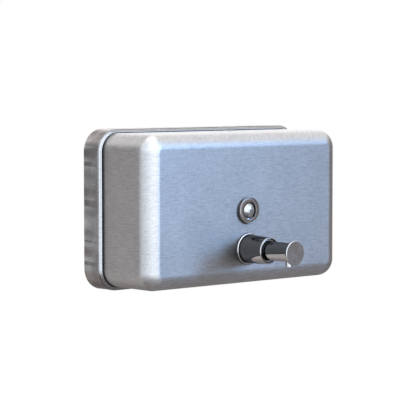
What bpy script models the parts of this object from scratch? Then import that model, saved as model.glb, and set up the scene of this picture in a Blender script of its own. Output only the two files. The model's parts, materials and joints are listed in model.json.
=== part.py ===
"""Wall mounted soap dispenser: a horizontal stainless tank in a rear shroud, with a push valve.

Metres, +Z up. The origin is the middle of the wall face: +X runs along the body, the wall is
on the +Y side and the front faces -Y. The tank hangs on a folded wall plate, a hinged and
locked lid closes its filler, and a spring-returned plunger doses the soap.
"""

import math

import bmesh
import bpy
from mathutils import Matrix, Vector

# Clearances: parts that touch keep FACE_GAP, parts that slide or turn keep RUNNING_GAP.
FACE_GAP = 0.0003
RUNNING_GAP = 0.0003
OVERRUN = 0.002  # how far a cutter runs past the faces that it opens

# Rear shroud, the larger shell against the wall.
BODY_WIDTH = 0.206
BODY_HEIGHT = 0.1215
BODY_CORNER = 0.017
SHROUD_DEPTH = 0.0171
SHROUD_SHEET = 0.001
SHROUD_EDGE = 0.0006
LIP_SIDE = 0.00325  # from the shroud's side to the tank's side
LIP_TOP = 0.0029
LIP_CORNER = 0.0035
LIP_GAP = 0.0005  # dark joint between the lip and the tank

# Tank: the drawn front shell and its flat back.
TANK_PROUD = 0.0538  # from the lip to the front face
TANK_SHEET = 0.001
TANK_FILLET = 0.0116
BACK_SHEET = 0.0012
FLANGE_CLEARANCE = 0.0005

# Wall plate and hanger rail, both folded from sheet.
PLATE_INSET = 0.028  # from the body's side to the plate's end
PLATE_SHEET = 0.0016
PLATE_FOOT_RISE = 0.0053
PLATE_FOOT_GAP = 0.0013  # from the plate's foot to the tank's back
PLATE_HOOK_REACH = 0.0068
PLATE_HOOK_HEIGHT = 0.0058
RAIL_INSET = 0.005  # from the plate's end to the rail's end
RAIL_SHEET = 0.0012
RAIL_DROP = 0.01015
RAIL_LEG = 0.0206
RAIL_LIP = 0.0051
RAIL_LIP_REACH = 0.0045
WALL_SCREW_INSET = (0.015, 0.0176, 0.0118)  # from the plate's ends, its foot and its hook
WALL_SCREW_RADIUS = 0.002
WALL_SCREW_HEAD = (0.004, 0.0024)  # radius and height
WALL_SCREW_SOCKET = (0.0016, 0.0012)  # radius and depth
LOCK_SCREW_INSET = 0.030  # from the plate's ends
LOCK_SCREW_RADIUS = 0.0019
LOCK_SCREW_LENGTH = 0.007
LOCK_SCREW_SOCKET = (0.00105, 0.0019)
SCREW_CHAMFER = 0.0008

# Filler: frame, gasket, lid, hinge pin.
FILLER_WIDTH = 0.066
FILLER_SETBACK = 0.003  # from the lip to the rear edge of the opening
FILLER_MARGIN = 0.0039  # from the front edge of the opening to the front fillet
FILLER_CORNER = 0.002
FRAME_RIM = 0.0025
FRAME_FLOOR = 0.001  # below the hinge's trough
LEDGE_WIDTH = 0.003
COLLAR_SHEET = 0.0012
COLLAR_DEPTH = 0.0022
GASKET_HEIGHT = 0.0012
GASKET_WIDTH = 0.0023
GASKET_INSET = 0.0005
LID_SHEET = 0.001
LID_CLEARANCE = 0.0004
KNUCKLE_RADIUS = 0.0022
KNUCKLE_LENGTH = 0.040
LUG_LENGTH = 0.0065
HINGE_PIN_RADIUS = 0.001

# Lid lock.
BARREL_RADIUS = 0.0036
LOCK_WALL = 0.0011
LOCK_FLANGE = (0.0012, 0.0012)  # width and height
KEY_SLOT = (0.0044, 0.0010, 0.0025)
CAM_SHEET = 0.0015
CAM_WIDTH = 0.007
CAM_OVERLAP = 0.003  # how far the locked cam reaches under the frame
CAM_SCREW = (0.0013, 0.0025, 0.0018)  # shank radius, head radius and head height

# Sight window.
WINDOW_ABOVE_VALVE = 0.0294
LENS_RADIUS = 0.0057
LENS_RIM = 0.0008
LENS_DOME = 0.0026
LENS_FLANGE = (0.001, 0.0015)  # width and height
LENS_LENGTH = 0.0095
BEZEL_MOUTH_GAP = 0.001  # between the lens and the bezel's lip
BEZEL_WALL = 0.0012
BEZEL_BRIM = 0.002  # beyond the stem
BEZEL_FLAT = 0.0006
BEZEL_ROLL = 0.0009  # width of the rolled edge
BEZEL_PROUD = 0.0022
BEZEL_STEP = 0.00045
BEZEL_SHOULDER = 0.0013
BEZEL_STEM_LENGTH = 0.012
RETAINER_HEIGHT = 0.003
WINDOW_NUT = (0.0025, 0.004)  # wall at the flats and height

# Valve. Heights run forward from the tank's front face.
VALVE_RISE = 0.02985  # above the body's lowest edge
PLUNGER_RADIUS = 0.0072
PLUNGER_CHANNEL = 0.0022
CYLINDER_WALL = 0.0011
CYLINDER_RECESS = 0.0015  # below the sleeve's front edge
CYLINDER_REACH = 0.038  # behind the front face
SLEEVE_WALL = 0.0019  # at its base
SLEEVE_TAPER = 0.0008  # from its base to its tip
SLEEVE_FRONT = 0.0239
SLEEVE_MOUTH = (0.0004, 0.0030)  # widening and depth of the counterbore at its mouth
SLEEVE_EDGE = 0.0004
ESCUTCHEON_RIM = 0.0014  # beyond the sleeve
ESCUTCHEON_SHEET = 0.0014
VALVE_NUT = (0.0031, 0.005)
WASHER_HEIGHT = 0.0012
WASHER_OVERHANG = 0.0038
STROKE = 0.015
PUSH_RESERVE = 0.0121  # from the sleeve to the push face at full stroke
PUSH_CAP_OVERHANG = 0.0021
PUSH_CAP_HEIGHT = 0.0017
PUSH_CAP_EDGE = 0.0004
PUSH_CAP_STEM = 0.0028
SPOUT_RADIUS = 0.0025
SPOUT_WALL = 0.001
SPOUT_SETBACK = 0.0067  # from the push face to the spout's axis
SPOUT_DROP = 0.0037  # below the plunger
SPOUT_CHAMBER = 0.0040
PISTON_HEIGHT = 0.006
PISTON_GROOVE = (0.0012, 0.0020)  # depth and height
SEAT_WALL = 0.0015
OUTLET_BALL = 0.0028
OUTLET_PORT = 0.0018
OUTLET_SPRING_SPACE = 0.0087
INLET_BALL = 0.0032
INLET_PORT = 0.0020
BALL_CLEARANCE = 0.0008
INLET_SPRING_SPACE = 0.0032
SEAT_HEIGHT = 0.005
CAGE_WALL = 0.0007
CAGE_CLEARANCE = 0.0005  # left in front of the cage at full stroke
CAGE_PIN_RADIUS = 0.0006
CAGE_PIN_DROP = 0.0015
RETURN_SPRING = (0.00045, 6)  # wire radius and turns
INLET_SPRING = (0.0024, 0.00025, 3)  # mean radius, wire radius and turns
OUTLET_SPRING = (0.0027, 0.00025, 4)
INLET_SKIRT = 0.007
INLET_CHAMBER = 0.0084
INLET_WALL = 0.0013
INTAKE_RADIUS = 0.0025
INTAKE_WALL = 0.0008
INTAKE_FLOOR_GAP = 0.002

# Facets.
CORNER_STEPS = 8
FILLET_STEPS = 6
FINE_STEPS = 28
PLAIN_STEPS = 18
SCREW_STEPS = 12
COIL_STEPS = 10
DOME_STEPS = 5
MERGE = 0.00001

# Places worked out from the sizes above.
TANK_WIDTH = BODY_WIDTH - 2 * LIP_SIDE
TANK_HEIGHT = BODY_HEIGHT - 2 * LIP_TOP
TANK_CORNER = BODY_CORNER - LIP_CORNER
TANK_TOP = TANK_HEIGHT / 2
FRONT_FILLET = min(TANK_FILLET, TANK_CORNER - FACE_GAP)
FACE_Y = -(SHROUD_DEPTH + TANK_PROUD)
FLANGE_Y = -(SHROUD_DEPTH - SHROUD_SHEET - FACE_GAP)
FLANGE_WIDTH = min(LIP_SIDE, LIP_TOP) - SHROUD_SHEET - FLANGE_CLEARANCE
BACK_Y = FLANGE_Y + TANK_SHEET + FACE_GAP
PLATE_WIDTH = BODY_WIDTH - 2 * PLATE_INSET
RAIL_WIDTH = PLATE_WIDTH - 2 * RAIL_INSET
RAIL_Y = BACK_Y + BACK_SHEET + FACE_GAP + RAIL_SHEET / 2
RAIL_Z = BODY_HEIGHT / 2 - RAIL_DROP
PLATE_TOP = RAIL_Z - RAIL_SHEET / 2 - FACE_GAP
PLATE_FOOT = -BODY_HEIGHT / 2 + PLATE_FOOT_RISE
LOCK_SCREW_X = PLATE_WIDTH / 2 - LOCK_SCREW_INSET
PLATE_FOOT_Y = BACK_Y + BACK_SHEET + PLATE_FOOT_GAP
LOCK_SCREW_Y = (PLATE_FOOT_Y - PLATE_SHEET) / 2
VALVE_Z = -BODY_HEIGHT / 2 + VALVE_RISE
WINDOW_Z = VALVE_Z + WINDOW_ABOVE_VALVE
INNER_FACE = -TANK_SHEET
BEZEL_MOUTH = LENS_RADIUS + BEZEL_MOUTH_GAP
BEZEL_BORE = LENS_RADIUS + LENS_FLANGE[0] + FACE_GAP
BEZEL_STEM = BEZEL_BORE + BEZEL_WALL
BEZEL_RADIUS = BEZEL_STEM + BEZEL_BRIM
BEZEL_STEP_RADIUS = BEZEL_RADIUS - BEZEL_ROLL - BEZEL_FLAT
CYLINDER_BORE = PLUNGER_RADIUS + RUNNING_GAP
CYLINDER_RADIUS = CYLINDER_BORE + CYLINDER_WALL
SLEEVE_BORE = CYLINDER_RADIUS + FACE_GAP
SLEEVE_BASE = SLEEVE_BORE + SLEEVE_WALL
SLEEVE_TIP = SLEEVE_BASE - SLEEVE_TAPER
ESCUTCHEON_RADIUS = SLEEVE_BASE + ESCUTCHEON_RIM
ESCUTCHEON_FRONT = FACE_GAP + ESCUTCHEON_SHEET
FILLER_REAR = -SHROUD_DEPTH - FILLER_SETBACK
FILLER_FRONT = FACE_Y + FRONT_FILLET + FILLER_MARGIN
HINGE_Y = FILLER_REAR - KNUCKLE_RADIUS - LID_CLEARANCE
HINGE_Z = TANK_TOP - KNUCKLE_RADIUS
LID_REAR = HINGE_Y - KNUCKLE_RADIUS - LID_CLEARANCE
LEDGE_REAR = LID_REAR - FACE_GAP
LEDGE_Z = TANK_TOP - max(LID_SHEET, TANK_SHEET) - GASKET_HEIGHT - 2 * FACE_GAP
FRAME_TOP = TANK_TOP - TANK_SHEET - FACE_GAP
TROUGH_FLOOR = HINGE_Z - KNUCKLE_RADIUS - LID_CLEARANCE
FRAME_BOTTOM = TROUGH_FLOOR - FRAME_FLOOR
COLLAR_BOTTOM = FRAME_BOTTOM - COLLAR_DEPTH
MOUTH_FRONT = FILLER_FRONT + LEDGE_WIDTH
MOUTH_REAR = LEDGE_REAR - LEDGE_WIDTH
MOUTH_WIDTH = FILLER_WIDTH - 2 * LEDGE_WIDTH
LOCK_RADIUS = BARREL_RADIUS + RUNNING_GAP + LOCK_WALL
LOCK_FLANGE_RADIUS = LOCK_RADIUS + LOCK_FLANGE[0]
LOCK_SETBACK = LOCK_FLANGE_RADIUS + FACE_GAP
LOCK_Y = MOUTH_FRONT + LOCK_SETBACK
LOCK_DEPTH = TANK_TOP - COLLAR_BOTTOM
PUSH_CAP_RADIUS = PLUNGER_RADIUS + PUSH_CAP_OVERHANG
PUSH_FRONT = SLEEVE_FRONT + STROKE + PUSH_RESERVE
INLET_BALL_Z = -CYLINDER_REACH + SEAT_WALL + math.sqrt(INLET_BALL**2 - INLET_PORT**2) + FACE_GAP
INLET_SPRING_LOW = INLET_BALL_Z + INLET_BALL + FACE_GAP
INLET_SPRING_HIGH = INLET_SPRING_LOW + INLET_SPRING_SPACE
CAGE_PIN_Z = INLET_SPRING_HIGH + FACE_GAP + CAGE_PIN_RADIUS
CAGE_TOP = CAGE_PIN_Z + CAGE_PIN_DROP
PISTON_REAR = CAGE_TOP + CAGE_CLEARANCE + STROKE
OUTLET_POCKET = OUTLET_BALL + BALL_CLEARANCE
CAGE_BORE = INLET_BALL + BALL_CLEARANCE
CAGE_RADIUS = CAGE_BORE + CAGE_WALL
RETURN_SPRING_RADIUS = (CAGE_RADIUS + CYLINDER_BORE) / 2
INLET_RADIUS = CYLINDER_RADIUS + FACE_GAP + INLET_WALL


def clear_scene():
    for obj in list(bpy.data.objects):
        bpy.data.objects.remove(obj, do_unlink=True)


def new_collection(name):
    collection = bpy.data.collections.new(name)
    bpy.context.scene.collection.children.link(collection)
    return collection


def finish(name, color, metallic, roughness):
    material = bpy.data.materials.new(name)
    material.use_nodes = True
    shader = material.node_tree.nodes["Principled BSDF"]
    shader.inputs["Base Color"].default_value = (*color, 1.0)
    shader.inputs["Metallic"].default_value = metallic
    shader.inputs["Roughness"].default_value = roughness
    material.diffuse_color = (*color, 1.0)
    return material


clear_scene()
PARTS = new_collection("soap_dispenser")
CUTTERS = new_collection("cutters")
BRUSHED = finish("brushed_steel", (0.52, 0.54, 0.57), 1.0, 0.34)
SATIN = finish("satin_steel", (0.45, 0.44, 0.44), 1.0, 0.28)
CHROME = finish("chrome", (0.62, 0.62, 0.64), 1.0, 0.08)
ZINC = finish("zinc_plate", (0.58, 0.58, 0.55), 1.0, 0.40)
SPRING = finish("spring_steel", (0.55, 0.55, 0.56), 1.0, 0.30)
RUBBER = finish("black_rubber", (0.03, 0.03, 0.03), 0.0, 0.70)
PLASTIC = finish("white_plastic", (0.80, 0.80, 0.78), 0.0, 0.45)
LENS = finish("clear_lens", (0.70, 0.71, 0.73), 0.3, 0.10)


def add_object(name, data, material=None, parent=None):
    """A named piece with its material, or a helper for a Boolean when it has none."""
    obj = bpy.data.objects.new(name, data)
    if material:
        PARTS.objects.link(obj)
        data.materials.append(material)
    else:
        CUTTERS.objects.link(obj)
        obj.hide_render = True
        obj.display_type = "WIRE"
    obj.parent = parent
    return obj


def add_axis(name, location, rotation=(0, 0, 0), parent=None):
    empty = bpy.data.objects.new(name, None)
    empty.empty_display_size = 0.01
    empty.location = location
    empty.rotation_euler = rotation
    empty.parent = parent
    PARTS.objects.link(empty)
    return empty


def mesh_object(name, bm, material=None, parent=None):
    mesh = bpy.data.meshes.new(name)
    bm.to_mesh(mesh)
    bm.free()
    mesh.shade_smooth()
    mesh.set_sharp_from_angle(angle=math.radians(35))
    return add_object(name, mesh, material, parent)


def block(low, high):
    """A box between two corners, as a bmesh."""
    low, high = Vector(low), Vector(high)
    bm = bmesh.new()
    bmesh.ops.create_cube(bm, size=1.0)
    bmesh.ops.scale(bm, vec=high - low, verts=bm.verts)
    bmesh.ops.translate(bm, vec=(high + low) / 2, verts=bm.verts)
    bm.normal_update()
    return bm


def bevel(bm, edges, radius, steps):
    bmesh.ops.bevel(
        bm, geom=edges, offset=radius, segments=steps, profile=0.5, affect="EDGES", clamp_overlap=False
    )
    bm.normal_update()


def edges_along(bm, axis):
    """The edges that run along one axis: 0 is X, 1 is Y and 2 is Z."""
    found = []
    for edge in bm.edges:
        run = edge.verts[1].co - edge.verts[0].co
        if abs(run[axis]) > 0.999 * run.length:
            found.append(edge)
    return found


def faces_towards(bm, direction):
    direction = Vector(direction)
    return [face for face in bm.faces if face.normal.dot(direction) > 0.999]


def rounded_slab(width, height, corner, front, rear, edge=0.0):
    """A slab with its outline in XZ and rounded corners, from y = front to y = rear."""
    bm = block((-width / 2, front, -height / 2), (width / 2, rear, height / 2))
    bevel(bm, edges_along(bm, 1), corner, CORNER_STEPS)
    if edge:
        front_edges = [e for face in faces_towards(bm, (0, -1, 0)) for e in face.edges]
        bevel(bm, front_edges, edge, 2)
    return bm


def rod(radius, start, end, steps=PLAIN_STEPS):
    """A closed cylinder from start to end, as a bmesh."""
    start, end = Vector(start), Vector(end)
    run = end - start
    bm = bmesh.new()
    bmesh.ops.create_cone(
        bm, cap_ends=True, segments=steps, radius1=radius, radius2=radius, depth=run.length
    )
    turn = Vector((0, 0, 1)).rotation_difference(run).to_matrix().to_4x4()
    bmesh.ops.transform(bm, matrix=Matrix.Translation((start + end) / 2) @ turn, verts=bm.verts)
    return bm


def boolean(obj, operation, name, bm, parent=None):
    helper = mesh_object(name, bm, parent=parent)
    modifier = obj.modifiers.new(name, "BOOLEAN")
    modifier.operation = operation
    modifier.object = helper
    modifier.solver = "EXACT"


def cut(obj, name, bm, parent=None):
    boolean(obj, "DIFFERENCE", name, bm, parent)


def join(obj, name, bm, parent=None):
    boolean(obj, "UNION", name, bm, parent)


def turned(name, profile, material, parent, steps=FINE_STEPS, location=(0, 0, 0)):
    """A turned piece about its local Z. The (radius, height) profile runs down the outer side,
    and back up the bore where the piece has one."""
    bm = bmesh.new()
    points = [bm.verts.new((radius, 0.0, height)) for radius, height in profile]
    for first, second in zip(points, points[1:]):
        bm.edges.new((first, second))
    if profile[0][0] > 0:
        bm.edges.new((points[-1], points[0]))
    mesh = bpy.data.meshes.new(name)
    bm.to_mesh(mesh)
    bm.free()
    obj = add_object(name, mesh, material, parent)
    obj.location = location
    screw = obj.modifiers.new("turn", "SCREW")
    screw.steps = steps
    screw.render_steps = steps
    screw.use_merge_vertices = True
    screw.merge_threshold = MERGE
    screw.use_normal_calculate = False
    screw.use_smooth_shade = True
    return obj


def turned_cup(name, profile, material, parent):
    """A turned piece with a closed end: its profile starts at a rim and crosses the axis."""
    low = profile.index(next(point for point in profile if point[0] == 0.0))
    ordered = profile[low + 1 :] + profile[: low + 1]
    return turned(name, ordered, material, parent, PLAIN_STEPS)


def ring(name, outer, inner, top, bottom, material, parent, steps=PLAIN_STEPS):
    profile = [(inner, top), (outer, top), (outer, bottom), (inner, bottom)]
    return turned(name, profile, material, parent, steps)


def hex_nut(name, size, bore, top, material, parent):
    """A hexagon nut about local Z, below top. Its size is its wall at the flats and its height."""
    wall, height = size
    corner = (bore + wall) / math.cos(math.pi / 6)
    bm = rod(corner, (0, 0, top - height), (0, 0, top), 6)
    nut = mesh_object(name, bm, material, parent)
    hole = rod(bore, (0, 0, top - height - OVERRUN), (0, 0, top + OVERRUN), FINE_STEPS)
    cut(nut, name + "_bore", hole, parent)


def arc(center, radii, start, end, steps):
    """Points on an elliptical arc in a (radius, height) profile, angles in degrees."""
    points = []
    for step in range(steps + 1):
        angle = math.radians(start + (end - start) * step / steps)
        points.append((center[0] + radii[0] * math.cos(angle), center[1] + radii[1] * math.sin(angle)))
    return points


def coil(name, size, low, high, parent):
    """A compression spring about local Z, its wire's outside between low and high."""
    radius, wire, turns = size
    curve = bpy.data.curves.new(name, "CURVE")
    curve.dimensions = "3D"
    curve.bevel_depth = wire
    curve.bevel_resolution = 2
    curve.use_fill_caps = True
    count = turns * COIL_STEPS
    spline = curve.splines.new("POLY")
    spline.points.add(count)
    rise = high - low - 2 * wire
    for index in range(count + 1):
        angle = 2 * math.pi * index / COIL_STEPS
        height = low + wire + rise * index / count
        spline.points[index].co = (radius * math.cos(angle), radius * math.sin(angle), height, 1.0)
    return add_object(name, curve, SPRING, parent)


def ball(name, radius, height, parent):
    bm = bmesh.new()
    bmesh.ops.create_uvsphere(bm, u_segments=14, v_segments=9, radius=radius)
    obj = mesh_object(name, bm, SPRING, parent)
    obj.location = (0, 0, height)
    return obj


def folded_sheet(name, path, width, thickness, material):
    """A sheet folded along X. The path is its middle line in (y, z)."""
    bm = bmesh.new()
    sides = []
    for x in (-width / 2, width / 2):
        sides.append([bm.verts.new((x, y, z)) for y, z in path])
    for index in range(len(path) - 1):
        near, far = sides
        bm.faces.new((near[index], near[index + 1], far[index + 1], far[index]))
    obj = mesh_object(name, bm, material)
    solidify = obj.modifiers.new("sheet", "SOLIDIFY")
    solidify.thickness = thickness
    solidify.offset = 0.0
    solidify.use_even_offset = True
    return obj


# --- Body -------------------------------------------------------------------------------


def outset(point, distance):
    """A point of the tank's rounded outline, moved straight out by distance."""
    core_x = TANK_WIDTH / 2 - TANK_CORNER
    core_z = TANK_HEIGHT / 2 - TANK_CORNER
    core = Vector((max(-core_x, min(core_x, point.x)), point.y, max(-core_z, min(core_z, point.z))))
    return point + (point - core).normalized() * distance


def build_front_shell():
    bm = rounded_slab(TANK_WIDTH, TANK_HEIGHT, TANK_CORNER, FACE_Y, FLANGE_Y)
    front_edges = [e for face in faces_towards(bm, (0, -1, 0)) for e in face.edges]
    bevel(bm, front_edges, FRONT_FILLET, FILLET_STEPS)
    bmesh.ops.delete(bm, geom=faces_towards(bm, (0, 1, 0)), context="FACES_ONLY")
    rim = [edge for edge in bm.edges if edge.is_boundary]
    flange = bmesh.ops.extrude_edge_only(bm, edges=rim)["geom"]
    for vertex in flange:
        if isinstance(vertex, bmesh.types.BMVert):
            vertex.co = outset(vertex.co, FLANGE_WIDTH)
    shell = mesh_object("front_shell", bm, BRUSHED)
    solidify = shell.modifiers.new("sheet", "SOLIDIFY")
    solidify.thickness = TANK_SHEET
    solidify.offset = -1.0
    solidify.use_even_offset = True
    reach = TANK_SHEET + OVERRUN
    for name, radius, z in (
        ("valve_hole", SLEEVE_BORE, VALVE_Z),
        ("window_hole", BEZEL_STEM + FACE_GAP, WINDOW_Z),
    ):
        cut(shell, name, rod(radius, (0, FACE_Y + reach, z), (0, FACE_Y - OVERRUN, z), FINE_STEPS))
    opening = block(
        (-FILLER_WIDTH / 2, FILLER_FRONT, TANK_TOP - reach),
        (FILLER_WIDTH / 2, FILLER_REAR, TANK_TOP + OVERRUN),
    )
    bevel(opening, edges_along(opening, 2), FILLER_CORNER, 3)
    cut(shell, "filler_hole", opening)


def build_rear_shroud():
    bm = rounded_slab(BODY_WIDTH, BODY_HEIGHT, BODY_CORNER, -SHROUD_DEPTH, 0.0, SHROUD_EDGE)
    shroud = mesh_object("rear_shroud", bm, SATIN)
    pocket = rounded_slab(
        BODY_WIDTH - 2 * SHROUD_SHEET,
        BODY_HEIGHT - 2 * SHROUD_SHEET,
        BODY_CORNER - SHROUD_SHEET,
        SHROUD_SHEET - SHROUD_DEPTH,
        OVERRUN,
    )
    cut(shroud, "shroud_pocket", pocket)
    opening = rounded_slab(
        TANK_WIDTH + 2 * LIP_GAP,
        TANK_HEIGHT + 2 * LIP_GAP,
        TANK_CORNER + LIP_GAP,
        -SHROUD_DEPTH - OVERRUN,
        SHROUD_SHEET - SHROUD_DEPTH + OVERRUN,
    )
    cut(shroud, "shroud_opening", opening)
    base = -BODY_HEIGHT / 2
    for side, x in (("left", -LOCK_SCREW_X), ("right", LOCK_SCREW_X)):
        low = (x, LOCK_SCREW_Y, base - OVERRUN)
        high = (x, LOCK_SCREW_Y, base + SHROUD_SHEET + OVERRUN)
        cut(shroud, "shroud_hole_" + side, rod(LOCK_SCREW_RADIUS + 2 * FACE_GAP, low, high))


def build_tank_back():
    grow = 2 * FLANGE_WIDTH
    corner = TANK_CORNER + FLANGE_WIDTH
    bm = rounded_slab(TANK_WIDTH + grow, TANK_HEIGHT + grow, corner, BACK_Y, BACK_Y + BACK_SHEET)
    mesh_object("tank_back", bm, BRUSHED)


# --- Wall fixing ------------------------------------------------------------------------


def build_hanger_rail():
    path = [
        (RAIL_Y, RAIL_Z - RAIL_LEG),
        (RAIL_Y, RAIL_Z),
        (-RAIL_LIP_REACH, RAIL_Z),
        (-RAIL_LIP_REACH, RAIL_Z - RAIL_LIP),
    ]
    folded_sheet("hanger_rail", path, RAIL_WIDTH, RAIL_SHEET, ZINC)


def wall_screw_places():
    from_end, from_foot, from_hook = WALL_SCREW_INSET
    across = PLATE_WIDTH / 2 - from_end
    low = PLATE_FOOT + from_foot
    high = PLATE_TOP - PLATE_HOOK_HEIGHT - from_hook
    return [(x, z) for z in (high, low) for x in (-across, across)]


def build_wall_plate():
    back = -PLATE_SHEET / 2
    path = [
        (PLATE_FOOT_Y, PLATE_FOOT),
        (back, PLATE_FOOT),
        (back, PLATE_TOP - PLATE_HOOK_HEIGHT),
        (-PLATE_HOOK_REACH, PLATE_TOP - PLATE_HOOK_HEIGHT),
        (-PLATE_HOOK_REACH, PLATE_TOP),
    ]
    plate = folded_sheet("wall_plate", path, PLATE_WIDTH, PLATE_SHEET, ZINC)
    for number, (x, z) in enumerate(wall_screw_places(), start=1):
        hole = rod(WALL_SCREW_RADIUS + 2 * FACE_GAP, (x, OVERRUN, z), (x, -PLATE_SHEET - OVERRUN, z))
        cut(plate, f"plate_hole_{number}", hole)
    for side, x in (("left", -LOCK_SCREW_X), ("right", LOCK_SCREW_X)):
        low = (x, LOCK_SCREW_Y, PLATE_FOOT - PLATE_SHEET)
        high = (x, LOCK_SCREW_Y, PLATE_FOOT + PLATE_SHEET)
        cut(plate, "foot_hole_" + side, rod(LOCK_SCREW_RADIUS + FACE_GAP, low, high))


def build_wall_screws():
    head_radius, head_height = WALL_SCREW_HEAD
    socket_radius, socket_depth = WALL_SCREW_SOCKET
    seat = PLATE_SHEET + FACE_GAP
    crown = seat + head_height
    profile = [(0.0, crown - socket_depth), (socket_radius, crown - socket_depth)]
    profile += arc((socket_radius, seat), (head_radius - socket_radius, head_height), 90, 0, 4)
    profile += [(WALL_SCREW_RADIUS, seat), (WALL_SCREW_RADIUS, 0.0), (0.0, 0.0)]
    for number, (x, z) in enumerate(wall_screw_places(), start=1):
        screw = turned(f"wall_screw_{number}", profile, ZINC, None, SCREW_STEPS, (x, 0, z))
        screw.rotation_euler = (math.pi / 2, 0, 0)


def build_lock_screws():
    low = -BODY_HEIGHT / 2 + SHROUD_SHEET / 2
    high = low + LOCK_SCREW_LENGTH
    socket_radius, socket_depth = LOCK_SCREW_SOCKET
    profile = [
        (0.0, high),
        (LOCK_SCREW_RADIUS - SCREW_CHAMFER, high),
        (LOCK_SCREW_RADIUS, high - SCREW_CHAMFER),
        (LOCK_SCREW_RADIUS, low),
        (socket_radius, low),
        (socket_radius, low + socket_depth),
        (0.0, low + socket_depth),
    ]
    for side, x in (("left", -LOCK_SCREW_X), ("right", LOCK_SCREW_X)):
        turned("retaining_screw_" + side, profile, ZINC, None, SCREW_STEPS, (x, LOCK_SCREW_Y, 0))


# --- Filler -----------------------------------------------------------------------------


def lug(side):
    """A hinge lug of the frame: a round eye on a foot that reaches the trough's floor."""
    inner = side * (KNUCKLE_LENGTH / 2 + LID_CLEARANCE)
    outer = inner + side * LUG_LENGTH
    eye = rod(KNUCKLE_RADIUS, (inner, HINGE_Y, HINGE_Z), (outer, HINGE_Y, HINGE_Z))
    foot = block(
        (min(inner, outer), HINGE_Y - KNUCKLE_RADIUS, FRAME_BOTTOM + COLLAR_SHEET / 2),
        (max(inner, outer), HINGE_Y + KNUCKLE_RADIUS, HINGE_Z),
    )
    return eye, foot


def build_filler_frame():
    half = FILLER_WIDTH / 2
    bm = block(
        (-half - FRAME_RIM, FILLER_FRONT - FRAME_RIM, FRAME_BOTTOM),
        (half + FRAME_RIM, FILLER_REAR + FRAME_RIM, FRAME_TOP),
    )
    frame = mesh_object("filler_frame", bm, SATIN)
    wall = COLLAR_SHEET
    collar = block(
        (-MOUTH_WIDTH / 2 - wall, MOUTH_FRONT - wall, COLLAR_BOTTOM),
        (MOUTH_WIDTH / 2 + wall, MOUTH_REAR + wall, FRAME_BOTTOM + wall),
    )
    join(frame, "frame_collar", collar)
    pocket = block((-half, FILLER_FRONT, LEDGE_Z), (half, FILLER_REAR, FRAME_TOP + OVERRUN))
    cut(frame, "frame_pocket", pocket)
    trough = block((-half, LEDGE_REAR, TROUGH_FLOOR), (half, FILLER_REAR, FRAME_TOP + OVERRUN))
    cut(frame, "frame_trough", trough)
    mouth = block(
        (-MOUTH_WIDTH / 2, MOUTH_FRONT, COLLAR_BOTTOM - OVERRUN),
        (MOUTH_WIDTH / 2, MOUTH_REAR, FRAME_TOP + OVERRUN),
    )
    cut(frame, "frame_mouth", mouth)
    for side, name in ((-1, "left"), (1, "right")):
        eye, foot = lug(side)
        join(frame, "frame_foot_" + name, foot)
        join(frame, "frame_eye_" + name, eye)
    bore = rod(HINGE_PIN_RADIUS + RUNNING_GAP, (-half, HINGE_Y, HINGE_Z), (half, HINGE_Y, HINGE_Z))
    cut(frame, "frame_pin_bore", bore)


def build_lid_gasket():
    half = FILLER_WIDTH / 2 - GASKET_INSET
    front = FILLER_FRONT + GASKET_INSET
    rear = LEDGE_REAR - FACE_GAP
    low, high = LEDGE_Z + FACE_GAP, LEDGE_Z + FACE_GAP + GASKET_HEIGHT
    gasket = mesh_object("lid_gasket", block((-half, front, low), (half, rear, high)), RUBBER)
    inner = half - GASKET_WIDTH
    hole = block(
        (-inner, front + GASKET_WIDTH, low - OVERRUN), (inner, rear - GASKET_WIDTH, high + OVERRUN)
    )
    cut(gasket, "gasket_hole", hole)


def build_filler_lid(hinge):
    """The lid in its hinge's frame: the pin is at the origin, and the lid runs forward, to -Y."""
    half = FILLER_WIDTH / 2 - LID_CLEARANCE
    front = FILLER_FRONT + LID_CLEARANCE - HINGE_Y
    rear = LID_REAR - HINGE_Y
    top = KNUCKLE_RADIUS
    sheet = block((-half, front, top - LID_SHEET), (half, rear, top))
    bevel(sheet, edges_along(sheet, 2), FILLER_CORNER - LID_CLEARANCE, 3)
    lid = mesh_object("filler_lid", sheet, BRUSHED, hinge)
    knuckle = KNUCKLE_LENGTH / 2
    strap = block((-knuckle, rear - LID_CLEARANCE, top - LID_SHEET), (knuckle, 0, top))
    join(lid, "lid_strap", strap, hinge)
    join(lid, "lid_knuckle", rod(KNUCKLE_RADIUS, (-knuckle, 0, 0), (knuckle, 0, 0)), hinge)
    run = knuckle + OVERRUN
    cut(lid, "lid_pin_bore", rod(HINGE_PIN_RADIUS + RUNNING_GAP, (-run, 0, 0), (run, 0, 0)), hinge)
    lock_y = LOCK_Y - HINGE_Y
    low = (0, lock_y, top - LID_SHEET - OVERRUN)
    high = (0, lock_y, top + OVERRUN)
    cut(lid, "lid_lock_hole", rod(LOCK_RADIUS + FACE_GAP, low, high, FINE_STEPS), hinge)


def build_hinge_pin(hinge):
    reach = KNUCKLE_LENGTH / 2 + LID_CLEARANCE + LUG_LENGTH - FACE_GAP
    bm = rod(HINGE_PIN_RADIUS, (-reach, 0, 0), (reach, 0, 0), SCREW_STEPS)
    mesh_object("lid_hinge_pin", bm, ZINC, hinge)


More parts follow.
